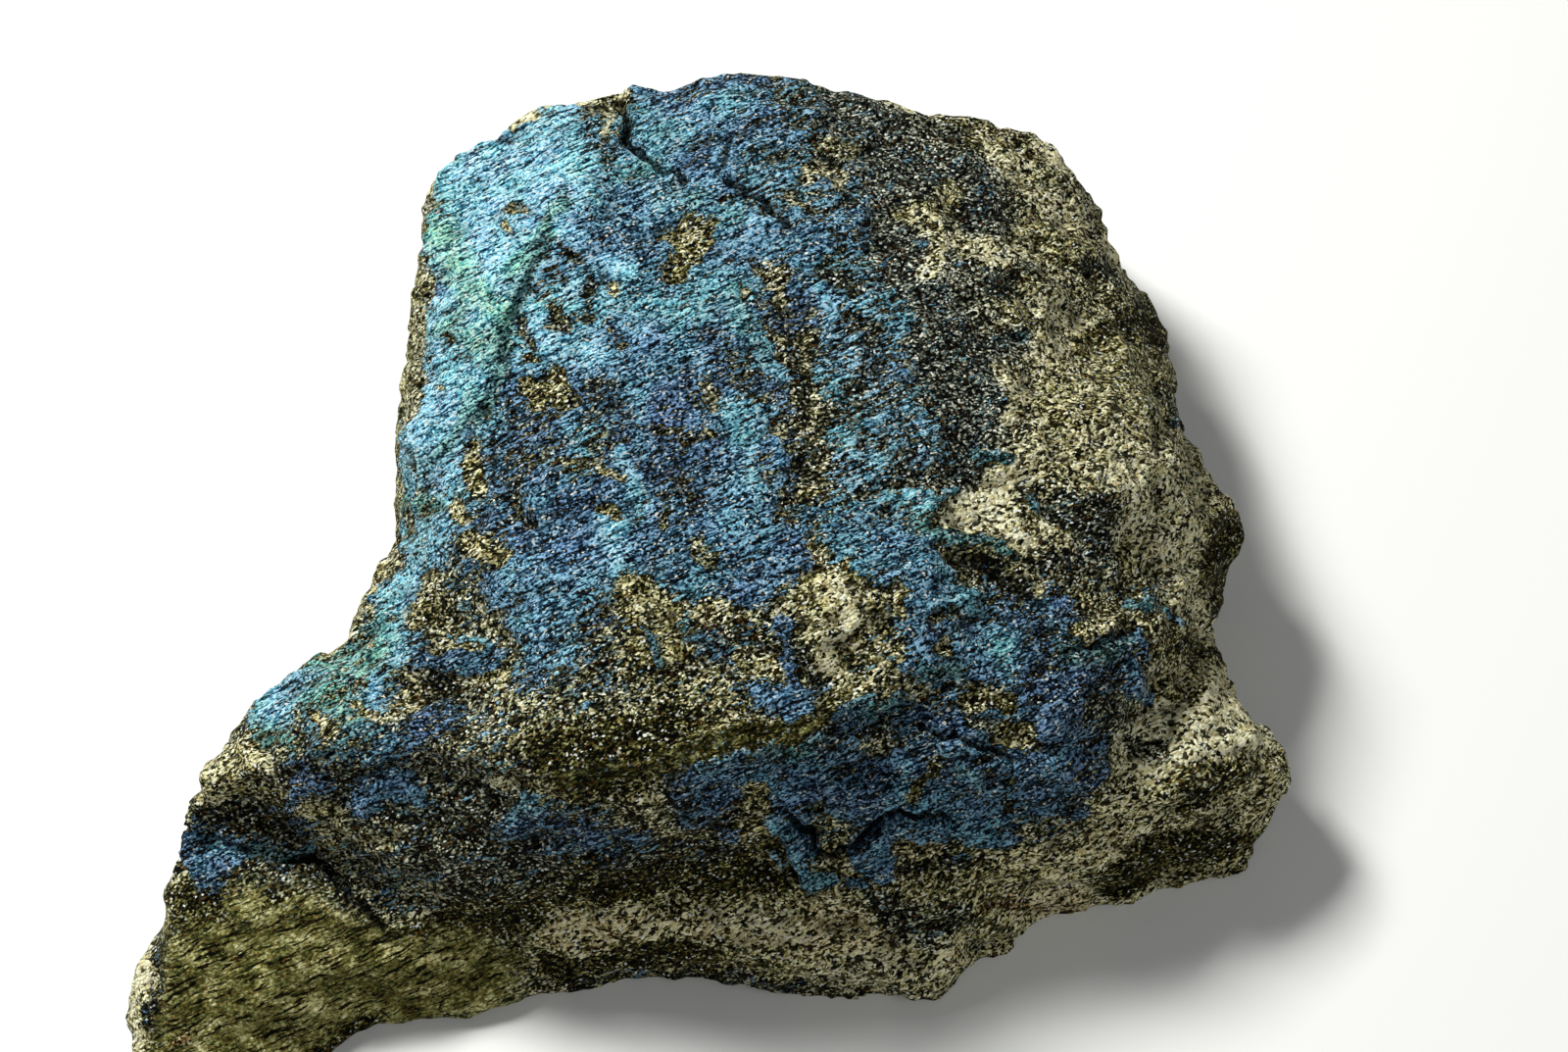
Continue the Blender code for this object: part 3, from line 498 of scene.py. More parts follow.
    ("slate crust", 0.8, [(15.6, -10.8), (18.6, -10)]),
    ("stained dolerite", 0.7, [(15.8, -9.6), (17, -9)]),
    ("teal crust", 0.6, [(21.8, -11.4), (22.8, -13)]),
    ("tan dolerite", 0.5, [(16, -12.6), (17, -13.6)]),
    ("bottle crust", 1.0, [(14.6, -15), (17.6, -14.6)]),
    ("black dolerite", 1.0, [(18.6, -3.4), (22, -4.8), (24, -6.4)]),
    ("dark dolerite", 1.2, [(26.6, -4), (30.6, -4)]),
    ("pale dolerite", 2.2, [(19.4, 1.4), (22, 3.8), (24.4, 6)]),
    ("cream feldspar", 1.7, [(18.4, 1.4), (21, 3.2), (23.6, 5.4)]),
    ("cream feldspar", 1.3, [(21.6, 0.6), (24, -1.4)]),
    ("pale dolerite", 1.1, [(26.4, 0), (28.4, -1.4)]),
    ("pale dolerite", 0.6, [(24.2, -4), (25.4, -6)]),
    ("stained dolerite", 1.0, [(25, 3.2), (27, 2.6)]),
    ("teal crust", 0.4, [(25.6, 2.8), (26.6, 2.2)]),
    ("bottle crust", 0.8, [(17.6, -0.6), (20.4, -2), (23.4, -2.8)]),
    ("bottle crust", 0.8, [(20.6, 7.6), (22.8, 7)]),
    # the crusted plate and the strip below it
    ("sky crust", 5.0, [(-31, 34.4), (-24.6, 37)]),
    ("sky crust", 4.0, [(-32, 28), (-28.6, 31)]),
    ("sky crust", 3.2, [(-33, 22), (-34, 12), (-36, 7)]),
    ("sky crust", 3.4, [(-27, 39), (-24, 33), (-29, 26)]),
    ("bright crust", 3.0, [(-31.6, 25), (-31.6, 18)]),
    ("bright crust", 1.6, [(-23, 41), (-20.4, 38), (-21.4, 34)]),
    # the lip's grey-green is partly painted shade on the plate's step; the dark green line along the groove
    # is painted shadow below it
    ("lip", 0.9, PLATE_LIP),
    ("bottle crust", 0.4, PLATE_GROOVE),
    ("green crust", 2.0, [(-35, 30), (-34, 27), (-32.4, 23.6)]),
    ("green crust", 1.3, [(-33.6, 19.6), (-31, 18.4)]),
    ("green crust", 1.2, [(-31, 24.6), (-29.6, 22)]),
    ("green crust", 0.8, [(-24.6, 30.4), (-22.4, 31.8)]),
    ("flecked sky crust", 1.3, [(-37, 6.6), (-36.8, 3)]),
    ("flecked sky crust", 1.8, [(-37, 1), (-37, -3.6)]),
    ("flecked green crust", 1.0, [(-38.4, 2.6), (-35.8, 0.4)]),
    ("flecked sky crust", 2.3, [(-39.4, -6.4), (-40.6, -10.6), (-40, -13.4), (-41.6, -17)]),
    ("sky crust", 0.8, [(-40.4, -7), (-38, -6)]),
    ("bright crust", 0.9, [(-42.6, -11.6), (-39.6, -12.6)]),
    ("flecked green crust", 4.0, [(-44, -13.6), (-47, -16), (-46, -18.6)]),
    ("bright crust", 0.7, [(-41.6, -16), (-41.4, -18.6)]),
    ("flecked sky crust", 1.0, [(-48, -16.6), (-46.6, -15.6)]),
    ("bright crust", 1.7, [(-50.8, -16), (-52, -18), (-53.4, -19.6)]),
    ("flecked green crust", 1.3, [(-53, -21), (-50.6, -22.4)]),
    ("tan dolerite", 0.5, [(-47.4, -19.6), (-46.2, -20.6)]),
    ("pale dolerite", 0.4, [(-44, -18.6), (-42.4, -19.4), (-40.8, -19.6)]),
    ("tan dolerite", 0.3, [(-27.9, 31.2), (-27.6, 30.0)]),
    ("tan dolerite", 0.25, [(-27.2, 32.4), (-26.4, 31.8)]),
    ("brown dolerite", 0.3, [(-33.9, 18.6), (-33.4, 18.2)]),
    ("brown dolerite", 0.3, [(-34.6, 14.6), (-34.2, 14.4)]),
    ("slate crust", 0.4, [(-35.4, 24.4), (-34.8, 23.8)]),
    ("slate crust", 0.6, [(-29, 39.6), (-28.2, 39.2)]),
    # pale broken rims; the cream lines along the top edge are painted highlight where the rims catch the
    # light
    ("broken rim", 1.5, [(-38.0, 34), (-39.2, 24), (-41.0, 10), (-40.6, 2)]),
    ("cream feldspar", 0.5, [(-37.4, 33.4), (-34.6, 37.4), (-30.4, 40.2), (-25.6, 41.8)]),
    ("cream feldspar", 0.5, [(-22, 43), (-19, 44.2), (-16.6, 44.4)]),
    ("cream feldspar", 0.5, [(9.4, 44.4), (12.6, 43), (15, 41.8)]),
    ("cream feldspar", 0.7, [(25.6, 39.4), (29.4, 36.2)]),
    ("cream feldspar", 0.5, [(33, 28.6), (36, 25)]),
    ("cream feldspar", 0.5, [(-47.6, -12.4), (-44.4, -10.8)]),
    ("tan dolerite", 0.7, [(-46.6, -13), (-44.8, -12)]),
    ("tan dolerite", 0.6, [(-42.4, -8), (-41.2, -4), (-40.6, -1.6)]),
]

# Patches where the crust has chipped off along a sharp edge: (finish, outline).
CHIPS = [
    ("chip floor", [
        (-9.8, 32.1), (-9.1, 31.9), (-8.3, 31.6), (-7.3, 31.6), (-6.7, 31.2), (-6.9, 30.5),
        (-7.3, 29.9), (-6.7, 28.9), (-7.5, 28.7), (-8.1, 28.0), (-8.5, 27.2), (-8.3, 26.8),
        (-9.2, 26.6), (-10.0, 26.0), (-10.2, 25.1), (-10.8, 24.7), (-11.7, 24.2), (-12.4, 24.8),
        (-12.5, 25.5), (-12.1, 26.8), (-11.5, 27.4), (-11.2, 28.2), (-11.7, 28.7), (-11.9, 29.3),
        (-13.1, 29.3), (-12.9, 29.6), (-11.7, 29.9), (-11.0, 30.8), (-10.4, 31.4),
    ]),
    ("chip floor", [
        (-24.2, 16.0), (-23.5, 16.4), (-22.5, 16.3), (-22.3, 15.3), (-21.9, 14.3), (-21.2, 13.7),
        (-20.4, 12.4), (-21.7, 12.2), (-23.1, 12.0), (-24.0, 12.6), (-25.0, 12.2), (-25.8, 11.7),
        (-26.2, 12.2), (-25.8, 12.8), (-26.9, 13.7), (-27.1, 14.5), (-26.5, 15.1), (-25.0, 14.9),
        (-24.4, 15.3),
    ]),
    ("chip floor", [(-4.0, 27.2), (-3.0, 27.1), (-2.5, 26.6), (-2.2, 25.5), (-3.0, 25.8), (-3.4, 26.4)]),
]

# Cracks and edges cut or raised along a line: (half of the width, mm outwards, points).
CREASES = [
    (0.7, -1.3, [(-17.0, 44.4), (-16.6, 42.2), (-15.9, 41.2), (-16.0, 39.4), (-15.0, 38.6), (-14.5, 37.6),
                 (-13.4, 37.1), (-12.6, 36.2), (-11.2, 36.3), (-10.0, 35.4)]),
    (0.8, -1.2, [(-5.6, 35.2), (-4.0, 35.1), (-3.2, 33.8), (-1.8, 33.2), (-1.0, 31.8), (0.6, 30.6)]),
    (0.5, -0.8, [(-7.0, 35.6), (-5.8, 37.6), (-5.4, 40.0)]),
    (1.0, -0.3, [(1.0, 24.0), (1.8, 18.0), (3.0, 12.0), (3.2, 5.0)]),
    (0.6, -0.9, [(14.0, -20.4), (16.0, -21.6), (17.6, -21.4), (19.4, -22.6), (21.8, -22.8), (23.4, -24.0)]),
    (0.6, -1.0, [(10.0, -29.9), (11.8, -29.2), (13.4, -30.0), (15.6, -29.3), (17.4, -30.1)]),
    (0.7, -1.4, [(0.6, -29.6), (1.5, -31.2), (2.8, -31.8), (3.2, -33.4), (4.8, -34.4), (6.2, -33.2),
                 (7.4, -33.0), (8.2, -31.6), (9.6, -30.4)]),
    (0.4, -0.7, [(0.0, -29.4), (3.6, -29.0)]),
    (0.9, 0.8, [(0.4, -31.6), (1.4, -34.0), (2.4, -36.2), (4.4, -36.9)]),
    (0.8, -0.9, [(-51.0, -34.2), (-48.2, -33.9), (-45.4, -36.0), (-42.6, -38.4), (-41.0, -40.9)]),
    (0.8, 0.5, [(-61.0, -37.0), (-56.0, -35.4), (-52.0, -35.0), (-48.6, -35.4)]),
    (0.5, -0.6, [(-5.0, -11.4), (-1.0, -12.4), (2.4, -14.2)]),
    (1.4, -0.6, [(17.0, -2.8), (20.0, -4.2), (24.0, -6.4), (26.4, -8.0)]),
    (0.8, 0.6, [(29.6, -12.0), (32.4, -10.8), (35.0, -8.8)]),
    (0.6, -0.6, [(28.6, -12.8), (32.6, -12.0), (35.6, -10.2)]),
    (0.5, -0.6, [(35.6, -19.6), (38.0, -18.8), (41.4, -17.4)]),
    (0.6, -0.5, [(-36.4, -12.8), (-33.0, -13.2), (-29.8, -12.8)]),
    (0.8, 0.6, [(-14.4, -24.6), (-10.0, -22.4), (-5.0, -20.6), (0.0, -19.6), (5.0, -18.8)]),
    (0.5, -0.5, [(18.0, -19.4), (20.6, -19.8), (22.4, -18.8)]),
    (0.5, -0.6, [(38.0, -29.6), (43.0, -28.0), (47.6, -28.4)]),
    (0.5, -0.6, [(33.6, -33.4), (39.0, -31.6), (45.0, -31.4)]),
    (0.8, 0.5, PLATE_LIP),
    (0.6, -0.25, PLATE_GROOVE),
]

# ---------------------------------------------------------------------------------------------------------
# The stone's fine surface, which starts as a copy of the solid
# ---------------------------------------------------------------------------------------------------------
SURFACE_VOXEL = 0.42 * MM
SURFACE_TRIANGLES = 190_000
SEEN_WEIGHT, THINNING_FACTOR = 0.5, 2.0e-5  # the side in sight is thinned less than the rest, which weighs 1
SMOOTHING_PASSES = 6
MERGE_DISTANCE = 1e-6
CRUST_THICKNESS = 0.35
# broken dolerite: (size of the lumps, height), in mm
ROUGHNESS = [(5.0, 0.26), (2.3, 0.24), (1.2, 0.26)]
# hollows where flakes broke off, with sharp crests between: (size, depth)
SCALLOPS = [(8.0, 1.05), (3.6, 0.5)]
# the crust is drawn out in wrinkles that rise to the right at this angle
STREAK_ANGLE = math.radians(24)
STREAK_SIZE = (4.6, 1.15, 3.0)  # mm along a wrinkle, across it, and into the stone
STREAK_HEIGHT = 0.4
STREAK_AXES = np.array([
    Vector((1, 0, 0)) * math.cos(STREAK_ANGLE) + EYE_UP * math.sin(STREAK_ANGLE),
    EYE_UP * math.cos(STREAK_ANGLE) - Vector((1, 0, 0)) * math.sin(STREAK_ANGLE),
    TO_EYE,
])
# how far the edges of strokes wander, across and up: (size of the bends, seed, mm)
WANDER = [[(5.0, 11, 1.3), (1.6, 5, 0.7)], [(5.0, 29, 1.3), (1.6, 17, 0.7)]]
JAGGED = [[(0.9, 61, 0.35)], [(0.9, 67, 0.35)]]  # the same for cracks and chips, in finer bends
WANDER_OF_CRACKS = 0.2  # the share of WANDER that cracks and chips take part in
FLECKS = [(2.6, 7, 0.5), (1.2, 23, 0.5)]  # specks of rock in the crust: (size, seed, weight)
STREAKS_IN_FLECKS = 0.7
FLECKING = 0.38  # how much the specks add to or take from the cover
CLEARANCE = 0.6  # mm above the surface at which a line of sight starts
SIGHT_RANGE = 0.2  # m, well past the stone's far side
BASE_BAND = 0.5  # mm above the table within which the surface keeps its height, so that the stone lies flat
LEAST_HEIGHT = 0.05


def fine_copy(node_object):
    select_only(node_object)
    bpy.ops.object.duplicate()
    stone = bpy.context.object
    stone.name = "dolerite_with_crust"
    stone.parent = None
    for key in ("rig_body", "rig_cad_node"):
        if key in stone:
            del stone[key]
    stone.data.materials.clear()
    bpy.ops.object.mode_set(mode="EDIT")
    bpy.ops.mesh.select_all(action="SELECT")
    bpy.ops.mesh.remove_doubles(threshold=MERGE_DISTANCE)
    bpy.ops.object.mode_set(mode="OBJECT")
    apply_modifier(stone, "REMESH", mode="VOXEL", voxel_size=SURFACE_VOXEL)
    apply_modifier(stone, "SMOOTH", factor=0.5, iterations=SMOOTHING_PASSES)
    return stone


def points_of(mesh):
    """The mesh's points in mm and their normals, one row each."""
    points = np.empty(len(mesh.vertices) * 3)
    mesh.vertices.foreach_get("co", points)
    normals = np.empty(len(mesh.vertices) * 3)
    mesh.vertices.foreach_get("normal", normals)
    return points.reshape(-1, 3) / MM, normals.reshape(-1, 3)


def move_points(mesh, points):
    mesh.vertices.foreach_set("co", (points * MM).ravel())
    mesh.update()


def lumps(points, size, seed=0.0):
    """Smooth noise from about -1 to 1 with lumps of this size, at every point."""
    shift = Vector((seed, 0, 0))
    return np.array([noise.noise(Vector(point) / size + shift) for point in points])


def layered(points, *layers):
    """The sum of several lumps: each is (size, seed, height)."""
    return sum(lumps(points, size, seed) * height for size, seed, height in layers)


def seen_by_eye(points):
    """(across, up) of every point, as the eye sees it."""
    offset = points - np.array(EYE)
    depth = -offset @ np.array(TO_EYE)
    return np.stack([offset[:, 0], offset @ np.array(EYE_UP)], axis=1) * (EYE_DISTANCE / depth)[:, None]


def distance_to_line(spots, line):
    nearest = np.full(len(spots), np.inf)
    for start, end in zip(line, line[1:]):
        start, along = np.array(start), np.subtract(end, start)
        share = np.clip((spots - start) @ along / (along @ along), 0, 1)
        nearest = np.minimum(nearest, np.linalg.norm(spots - start - share[:, None] * along, axis=1))
    return nearest


def inside_outline(spots, outline):
    """Distance into a closed outline, negative outside it."""
    inside = np.zeros(len(spots), bool)
    for (x0, y0), (x1, y1) in zip(outline, outline[1:] + outline[:1]):
        crosses = (y0 > spots[:, 1]) != (y1 > spots[:, 1])
        where = (x1 - x0) * (spots[:, 1] - y0) / (y1 - y0 if y1 != y0 else 1) + x0
        inside ^= crosses & (spots[:, 0] < where)
    return np.where(inside, 1, -1) * distance_to_line(spots, outline + outline[:1])


def ease(low, high, values):
    share = np.clip((values - low) / (high - low), 0, 1)
    return share * share * (3 - 2 * share)


def in_sight(obj, points, normals):
    """1 where nothing stands between the surface and the eye, 0 elsewhere."""
    tree = BVHTree.FromObject(obj, bpy.context.evaluated_depsgraph_get())
    starts = (points + normals * CLEARANCE) * MM
    return np.array([tree.ray_cast(Vector(start), TO_EYE, SIGHT_RANGE)[0] is None for start in starts], float)


def paint_layers(spots):
    """The six layers at every spot. Tone and green change more softly than the others."""
    layers = np.tile(np.array(FINISHES["dolerite"]), (len(spots), 1))
    for finish, half_width, line in STROKES:
        reach = half_width - distance_to_line(spots, line)
        fade = min(MOST_FADE, max(LEAST_FADE, FADE_SHARE * half_width))
        sharp = ease(-fade, fade, reach)
        soft = ease(-SOFT_TONE * half_width, SOFT_TONE * half_width, reach)
        share = np.stack([sharp, soft, soft, sharp, sharp, sharp], axis=1)
        layers += share * (np.array(FINISHES[finish]) - layers)
    return layers


def thin_out(stone, side):
    """Thins the mesh to SURFACE_TRIANGLES, and the side in sight less than the rest."""
    away = stone.vertex_groups.new(name="away")
    for index, weight in enumerate(np.where(side < 0.5, 1.0, SEEN_WEIGHT).tolist()):
        away.add([index], weight, "REPLACE")
    apply_modifier(stone, "DECIMATE", ratio=SURFACE_TRIANGLES / (2 * len(side)),
                   vertex_group="away", vertex_group_factor=THINNING_FACTOR)


def finish_surface(stone):
    """Moves the surface into its fine relief and writes the painted layers on it."""
    mesh = stone.data
    points, normals = points_of(mesh)
    seen = seen_by_eye(points)
    facing = normals @ np.array(TO_EYE)

    # strokes are read from spots that wander, so that no edge runs straight
    wander = np.stack([layered(points, *bends) for bends in WANDER], axis=1)
    cover, tone, green, pale, olive, smooth = paint_layers(seen + wander).T.copy()
    tone += layered(points, (4.5, 53, 0.14), (1.8, 59, 0.08))

    # the crust lies on the side in sight and ends raggedly round its edge; the rest is plain broken rock
    ragged = layered(points, (4.0, 41, 0.25), (1.5, 43, 0.15)) + np.clip(lumps(points, 9.0, 47), 0, 1) * 0.3
    side = ease(0.05, 0.35, facing + ragged)
    # lines of sight start further out in places, so that the crust's edge in a hollow isn't straight either
    further_out = 1 + 3 * np.clip(lumps(points, 6.0, 83), 0, 1)
    side *= in_sight(stone, points, normals * further_out[:, None])
    cover *= side
    plain_rock = (
        (tone, 0.4), (green, 0.0), (pale, 0.46 + 0.25 * lumps(points, 9.0, 71)), (olive, 0.8), (smooth, 0.0),
    )
    for layer, plain in plain_rock:
        layer += (1 - ease(-0.5, 0.1, facing)) * (plain - layer)

    streaks = lumps(points @ STREAK_AXES.T / np.array(STREAK_SIZE), 1.0, 3.0)
    flecks = layered(points, *FLECKS) + streaks * STREAKS_IN_FLECKS
    crust = cover + flecks * FLECKING
    fine_bends = np.stack([layered(points, *bends) for bends in JAGGED], axis=1)
    jagged = wander * WANDER_OF_CRACKS + fine_bends
    chipped = np.zeros(len(points))
    for finish, outline in CHIPS:
        bare = ease(-0.12, 0.12, inside_outline(seen + jagged * 0.5, outline))
        chipped = np.maximum(chipped, bare)
        pale += bare * (FINISHES[finish][3] - pale)
        olive += bare * (FINISHES[finish][4] - olive)
    crust *= 1 - chipped
    crusted = ease(0.35, 0.65, crust)

    # relief, in mm along the normals: the crust fills some of the roughness, and wear takes most of it off
    rise = np.zeros(len(points))
    for size, height in ROUGHNESS:
        rise += lumps(points, size, size * 9) * height * (1 - 0.35 * crusted)
    rise += streaks * STREAK_HEIGHT * (0.35 + 0.65 * side)
    rise *= 1 - 0.65 * smooth
    # how deep a spot lies among the lumps; the material darkens deep spots as painted shade
    hollow = np.clip(0.5 - rise, 0, 1)
    for size, depth in SCALLOPS:
        rise += (0.2 - np.abs(lumps(points, size, size * 5))) * depth * (1 - 0.5 * smooth)
    rise += crusted * CRUST_THICKNESS - chipped * CHIP_DEPTH
    # the creases cut into the surface, also kept so that the material darkens them as painted shade
    crack = np.zeros(len(points))
    for half_width, height, line in CREASES:
        share = ease(-1, -0.15, -distance_to_line(seen + jagged, line) / half_width) * side
        rise += share * height
        if height < 0:
            crack = np.maximum(crack, share * min(1, -height))
    moved = points + normals * rise[:, None]
    moved[:, 2] = np.where(points[:, 2] < BASE_BAND, points[:, 2], np.maximum(moved[:, 2], LEAST_HEIGHT))
    move_points(mesh, moved)

    layers = {"crust": crust, "tone": tone, "green": green, "pale": pale, "olive": olive,
              "smooth": smooth, "crack": crack, "hollow": hollow}
    for name, values in layers.items():
        attribute = mesh.attributes.new(name, "FLOAT", "POINT")
        attribute.data.foreach_set("value", values.astype(np.float32))
    thin_out(stone, side)
    select_only(stone)
    bpy.ops.object.shade_smooth()


# ---------------------------------------------------------------------------------------------------------
# Materials
# ---------------------------------------------------------------------------------------------------------
COARSE_GRAIN, FINE_GRAIN = 0.44, 0.21  # mm across the dolerite's crystals
LATH_STRETCH = (1.25, 0.85, 1.0)  # the crystals lie along the wrinkles
WRINKLE_STRETCH = (2.5, 0.31, 0.8)  # mm along a fine wrinkle of the crust, across it, and into the stone
WAVINESS = (0.7, 0.7, 0.7)  # mm that grains and wrinkles bend
BUMP_DEPTH = 0.85 * MM
RUST_START = 1.25  # the olive weathering past which rock turns to rust


def add_node(tree, kind, settings=None, **inputs):
    """Adds a node. settings are its own properties; inputs are values, or sockets to link from."""
    node = tree.nodes.new(kind)
    for name, value in (settings or {}).items():
        setattr(node, name, value)
    for name, value in inputs.items():
        socket = node.inputs[int(name[1:])] if name[0] == "i" and name[1:].isdigit() else node.inputs[name]
        if isinstance(value, bpy.types.NodeSocket):
            tree.links.new(value, socket)
        else:
            socket.default_value = value
    return node


def ramp(tree, factor, stops):
    """A colour ramp: stops are (place, sRGB hex)."""
    node = add_node(tree, "ShaderNodeValToRGB", i0=factor)
    elements = node.color_ramp.elements
    while len(elements) < len(stops):
        elements.new(0.5)
    for element, (place, colour) in zip(elements, stops):
        element.position = place
        element.color = linear(colour)
    return node.outputs["Color"]


def stone_material():
    """Broken and weathered dolerite, in dark and pale grains, under dull, earthy, wrinkled blue aerinite."""
    material = bpy.data.materials.new("broken dolerite with aerinite crust")
    material.use_nodes = True
    tree = material.node_tree
    shader = tree.nodes["Principled BSDF"]

    def attribute(name):
        return add_node(tree, "ShaderNodeAttribute", {"attribute_name": name}).outputs["Fac"]

    def math_node(operation, *values, clamp=False):
        inputs = {f"i{index}": value for index, value in enumerate(values)}
        settings = {"operation": operation, "use_clamp": clamp}
        return add_node(tree, "ShaderNodeMath", settings, **inputs).outputs[0]

    def vector_node(operation, **inputs):
        return add_node(tree, "ShaderNodeVectorMath", {"operation": operation}, **inputs).outputs[0]

    def stretched(vector, stretch):
        """The place in the stone, measured along the wrinkles and drawn out with them."""
        turn = Matrix(STREAK_AXES.tolist()).transposed().to_euler()
        settings = {"vector_type": "TEXTURE"}
        return add_node(tree, "ShaderNodeMapping", settings, Vector=vector, Rotation=turn,
                        Scale=stretch).outputs[0]

    def about_half(value, gain, middle=0.5):
        """Stretches a value about its middle, and moves that to 0.5."""
        return math_node("MULTIPLY_ADD", math_node("SUBTRACT", value, middle), gain, 0.5, clamp=True)

    def sum_of(*terms):
        """The sum of (value, weight) terms, clamped to 0 to 1."""
        total = 0.0
        for value, weight in terms:
            total = math_node("MULTIPLY_ADD", value, weight, total)
        return math_node("ADD", total, 0.0, clamp=True)

    def mix(factor, first, second, blend="MIX"):
        settings = {"data_type": "RGBA", "blend_type": blend}
        return add_node(tree, "ShaderNodeMix", settings, i0=factor, i6=first, i7=second).outputs[2]

    def stained(colour, stain):
        """The colour multiplied by this sRGB hex value: used for stains and tints, and for painted shade."""
        return mix(1.0, colour, linear(stain), "MULTIPLY")

    def grain(scale, vector, detail=2.0, roughness=0.5):
        """Cloudy noise with this many lumps to a mm."""
        return add_node(tree, "ShaderNodeTexNoise", Vector=vector, Scale=scale, Detail=detail,
                        Roughness=roughness).outputs["Fac"]

    def cells(size, vector):
        """Crystals of this size in mm: (their random colours, distance from their middles)."""
        return add_node(tree, "ShaderNodeTexVoronoi", Vector=vector, Scale=1 / size)

    place = add_node(tree, "ShaderNodeTexCoord").outputs["Object"]
    in_mm = vector_node("SCALE", i0=place, Scale=1 / MM)
    wave = add_node(tree, "ShaderNodeTexNoise", Vector=in_mm, Scale=0.5, Detail=2.0).outputs["Color"]
    wavy = vector_node("MULTIPLY_ADD", i0=wave, i1=WAVINESS, i2=in_mm)
    along = stretched(wavy, WRINKLE_STRETCH)
    laths = stretched(wavy, LATH_STRETCH)
    mottle = grain(1.2, in_mm, detail=3.0, roughness=0.6)
    tone = sum_of((attribute("tone"), 1.0), (mottle, 0.8), (1.0, -0.40))
    green = attribute("green")
    pale, olive = attribute("pale"), attribute("olive")
    crust, crack, hollow = attribute("crust"), attribute("crack"), attribute("hollow")

    wrinkles = grain(1.0, along, detail=4.0, roughness=0.62)
    grit = grain(2.6, in_mm, detail=3.0, roughness=0.6)
    clouds = grain(0.4, in_mm, detail=3.0)

    # dolerite: interlocking grains of dark pyroxene and pale feldspar, 0.2 to 0.55 mm, with cream clusters
    coarse = cells(COARSE_GRAIN, laths)
    fine = cells(FINE_GRAIN, laths)
    coarse_colour = add_node(tree, "ShaderNodeSeparateColor", Color=coarse.outputs["Color"])
    fine_colour = add_node(tree, "ShaderNodeSeparateColor", Color=fine.outputs["Color"])
    pale_grain = math_node("MULTIPLY", pale, coarse_colour.outputs[0])
    pick = sum_of((coarse_colour.outputs[0], 0.35), (fine_colour.outputs[0], 1.50), (grit, 1.1),
                  (clouds, 0.8), (pale, 0.40), (pale_grain, 0.80), (1.0, -1.76))
    worn = math_node("MULTIPLY", attribute("smooth"), 1.0, clamp=True)
    dashes = about_half(wrinkles, 28.0, 0.445)
    even = sum_of((clouds, 1.1), (grit, 0.8), (fine_colour.outputs[0], 0.30), (dashes, 0.62), (pale, 0.6),
                  (1.0, -1.50))
    pick = add_node(tree, "ShaderNodeMix", i0=worn, i2=pick, i3=even).outputs[0]
    cool_rock = ramp(tree, pick, [
        (0.0, "050604"), (0.2, "121814"), (0.4, "323a35"),
        (0.6, "646d62"), (0.8, "adb49e"), (1.0, "f7f8e6"),
    ])
    warm_rock = ramp(tree, pick, [
        (0.0, "050501"), (0.2, "1e1e08"), (0.4, "434420"),
        (0.6, "767643"), (0.8, "b9b784"), (1.0, "f8f3cb"),
    ])
    rock = mix(olive, cool_rock, warm_rock)
    weathered_tint = ramp(tree, coarse_colour.outputs[2], [
        (0.0, "c4ba9c"), (0.3, "e8e4d0"), (0.6, "f8f8f2"), (1.0, "ffffff"),
    ])
    fresh_tint = ramp(tree, coarse_colour.outputs[2], [
        (0.0, "b4b8b6"), (0.3, "dfe3e0"), (0.6, "f5f8f6"), (1.0, "ffffff"),
    ])
    weathered = math_node("MULTIPLY", olive, 1.3, clamp=True)
    rock = mix(1.0, rock, mix(weathered, fresh_tint, weathered_tint), "MULTIPLY")
    rust = math_node("MULTIPLY", math_node("SUBTRACT", olive, RUST_START), 3.0, clamp=True)
    rock = mix(rust, rock, stained(rock, "cc9670"))
    bright_grain = about_half(coarse_colour.outputs[1], 14, 0.22)
    bright_grain = math_node("MAXIMUM", bright_grain, worn)
    rock = mix(bright_grain, stained(rock, "3e3e38"), rock)
    rusty = about_half(fine_colour.outputs[1], 20, 0.95)
    rock = mix(math_node("MULTIPLY", rusty, 0.5), rock, linear("7a5420"))

    # aerinite: earthy and fibrous, from navy where thick to sky blue where thin and dry
    # the crust's own light and dark fibres; since this rises with the wrinkles' height, the crests are also
    # painted lighter as highlight and the troughs darker as shade
    light = sum_of((wrinkles, 2.7), (grit, 1.0), (fine_colour.outputs[2], 1.35), (1.0, -2.00))
    sky = ramp(tree, light, [
        (0.0, "143c4e"), (0.25, "509ab8"), (0.5, "7ecee6"), (0.75, "a8eafc"), (1.0, "d6faff"),
    ])
    steel = ramp(tree, light, [
        (0.0, "04090c"), (0.25, "1b3341"), (0.5, "3a6880"), (0.75, "6097b4"), (1.0, "a2d6ea"),
    ])
    navy = ramp(tree, light, [
        (0.0, "020304"), (0.25, "0c151b"), (0.5, "1d3248"), (0.75, "375876"), (1.0, "7ea0bc"),
    ])
    lower = add_node(tree, "ShaderNodeMapRange", i0=tone, i1=0.05, i2=0.5).outputs[0]
    upper = add_node(tree, "ShaderNodeMapRange", i0=tone, i1=0.5, i2=0.95).outputs[0]
    blue = mix(upper, mix(lower, navy, steel), sky)
    broad_clouds = grain(0.22, in_mm, detail=3.0)
    drift = ramp(tree, broad_clouds, [(0.36, "f5f2ff"), (0.5, "ffffff"), (0.64, "ebfff8")])
    blue = mix(1.0, blue, drift, "MULTIPLY")
    violet = math_node("MULTIPLY", green, -1.0, clamp=True)
    blue = mix(violet, blue, stained(blue, "fff0ff"))
    # darker in the troughs of the wrinkles: painted shade
    painted_trough_shade_mask = about_half(wrinkles, 20.0, 0.44)
    blue = mix(painted_trough_shade_mask, stained(blue, "70747e"), blue)
    green_share = sum_of((green, 1.0), (clouds, 0.9), (1.0, -0.45))
    blue = mix(green_share, blue, stained(blue, "f6fccf"))

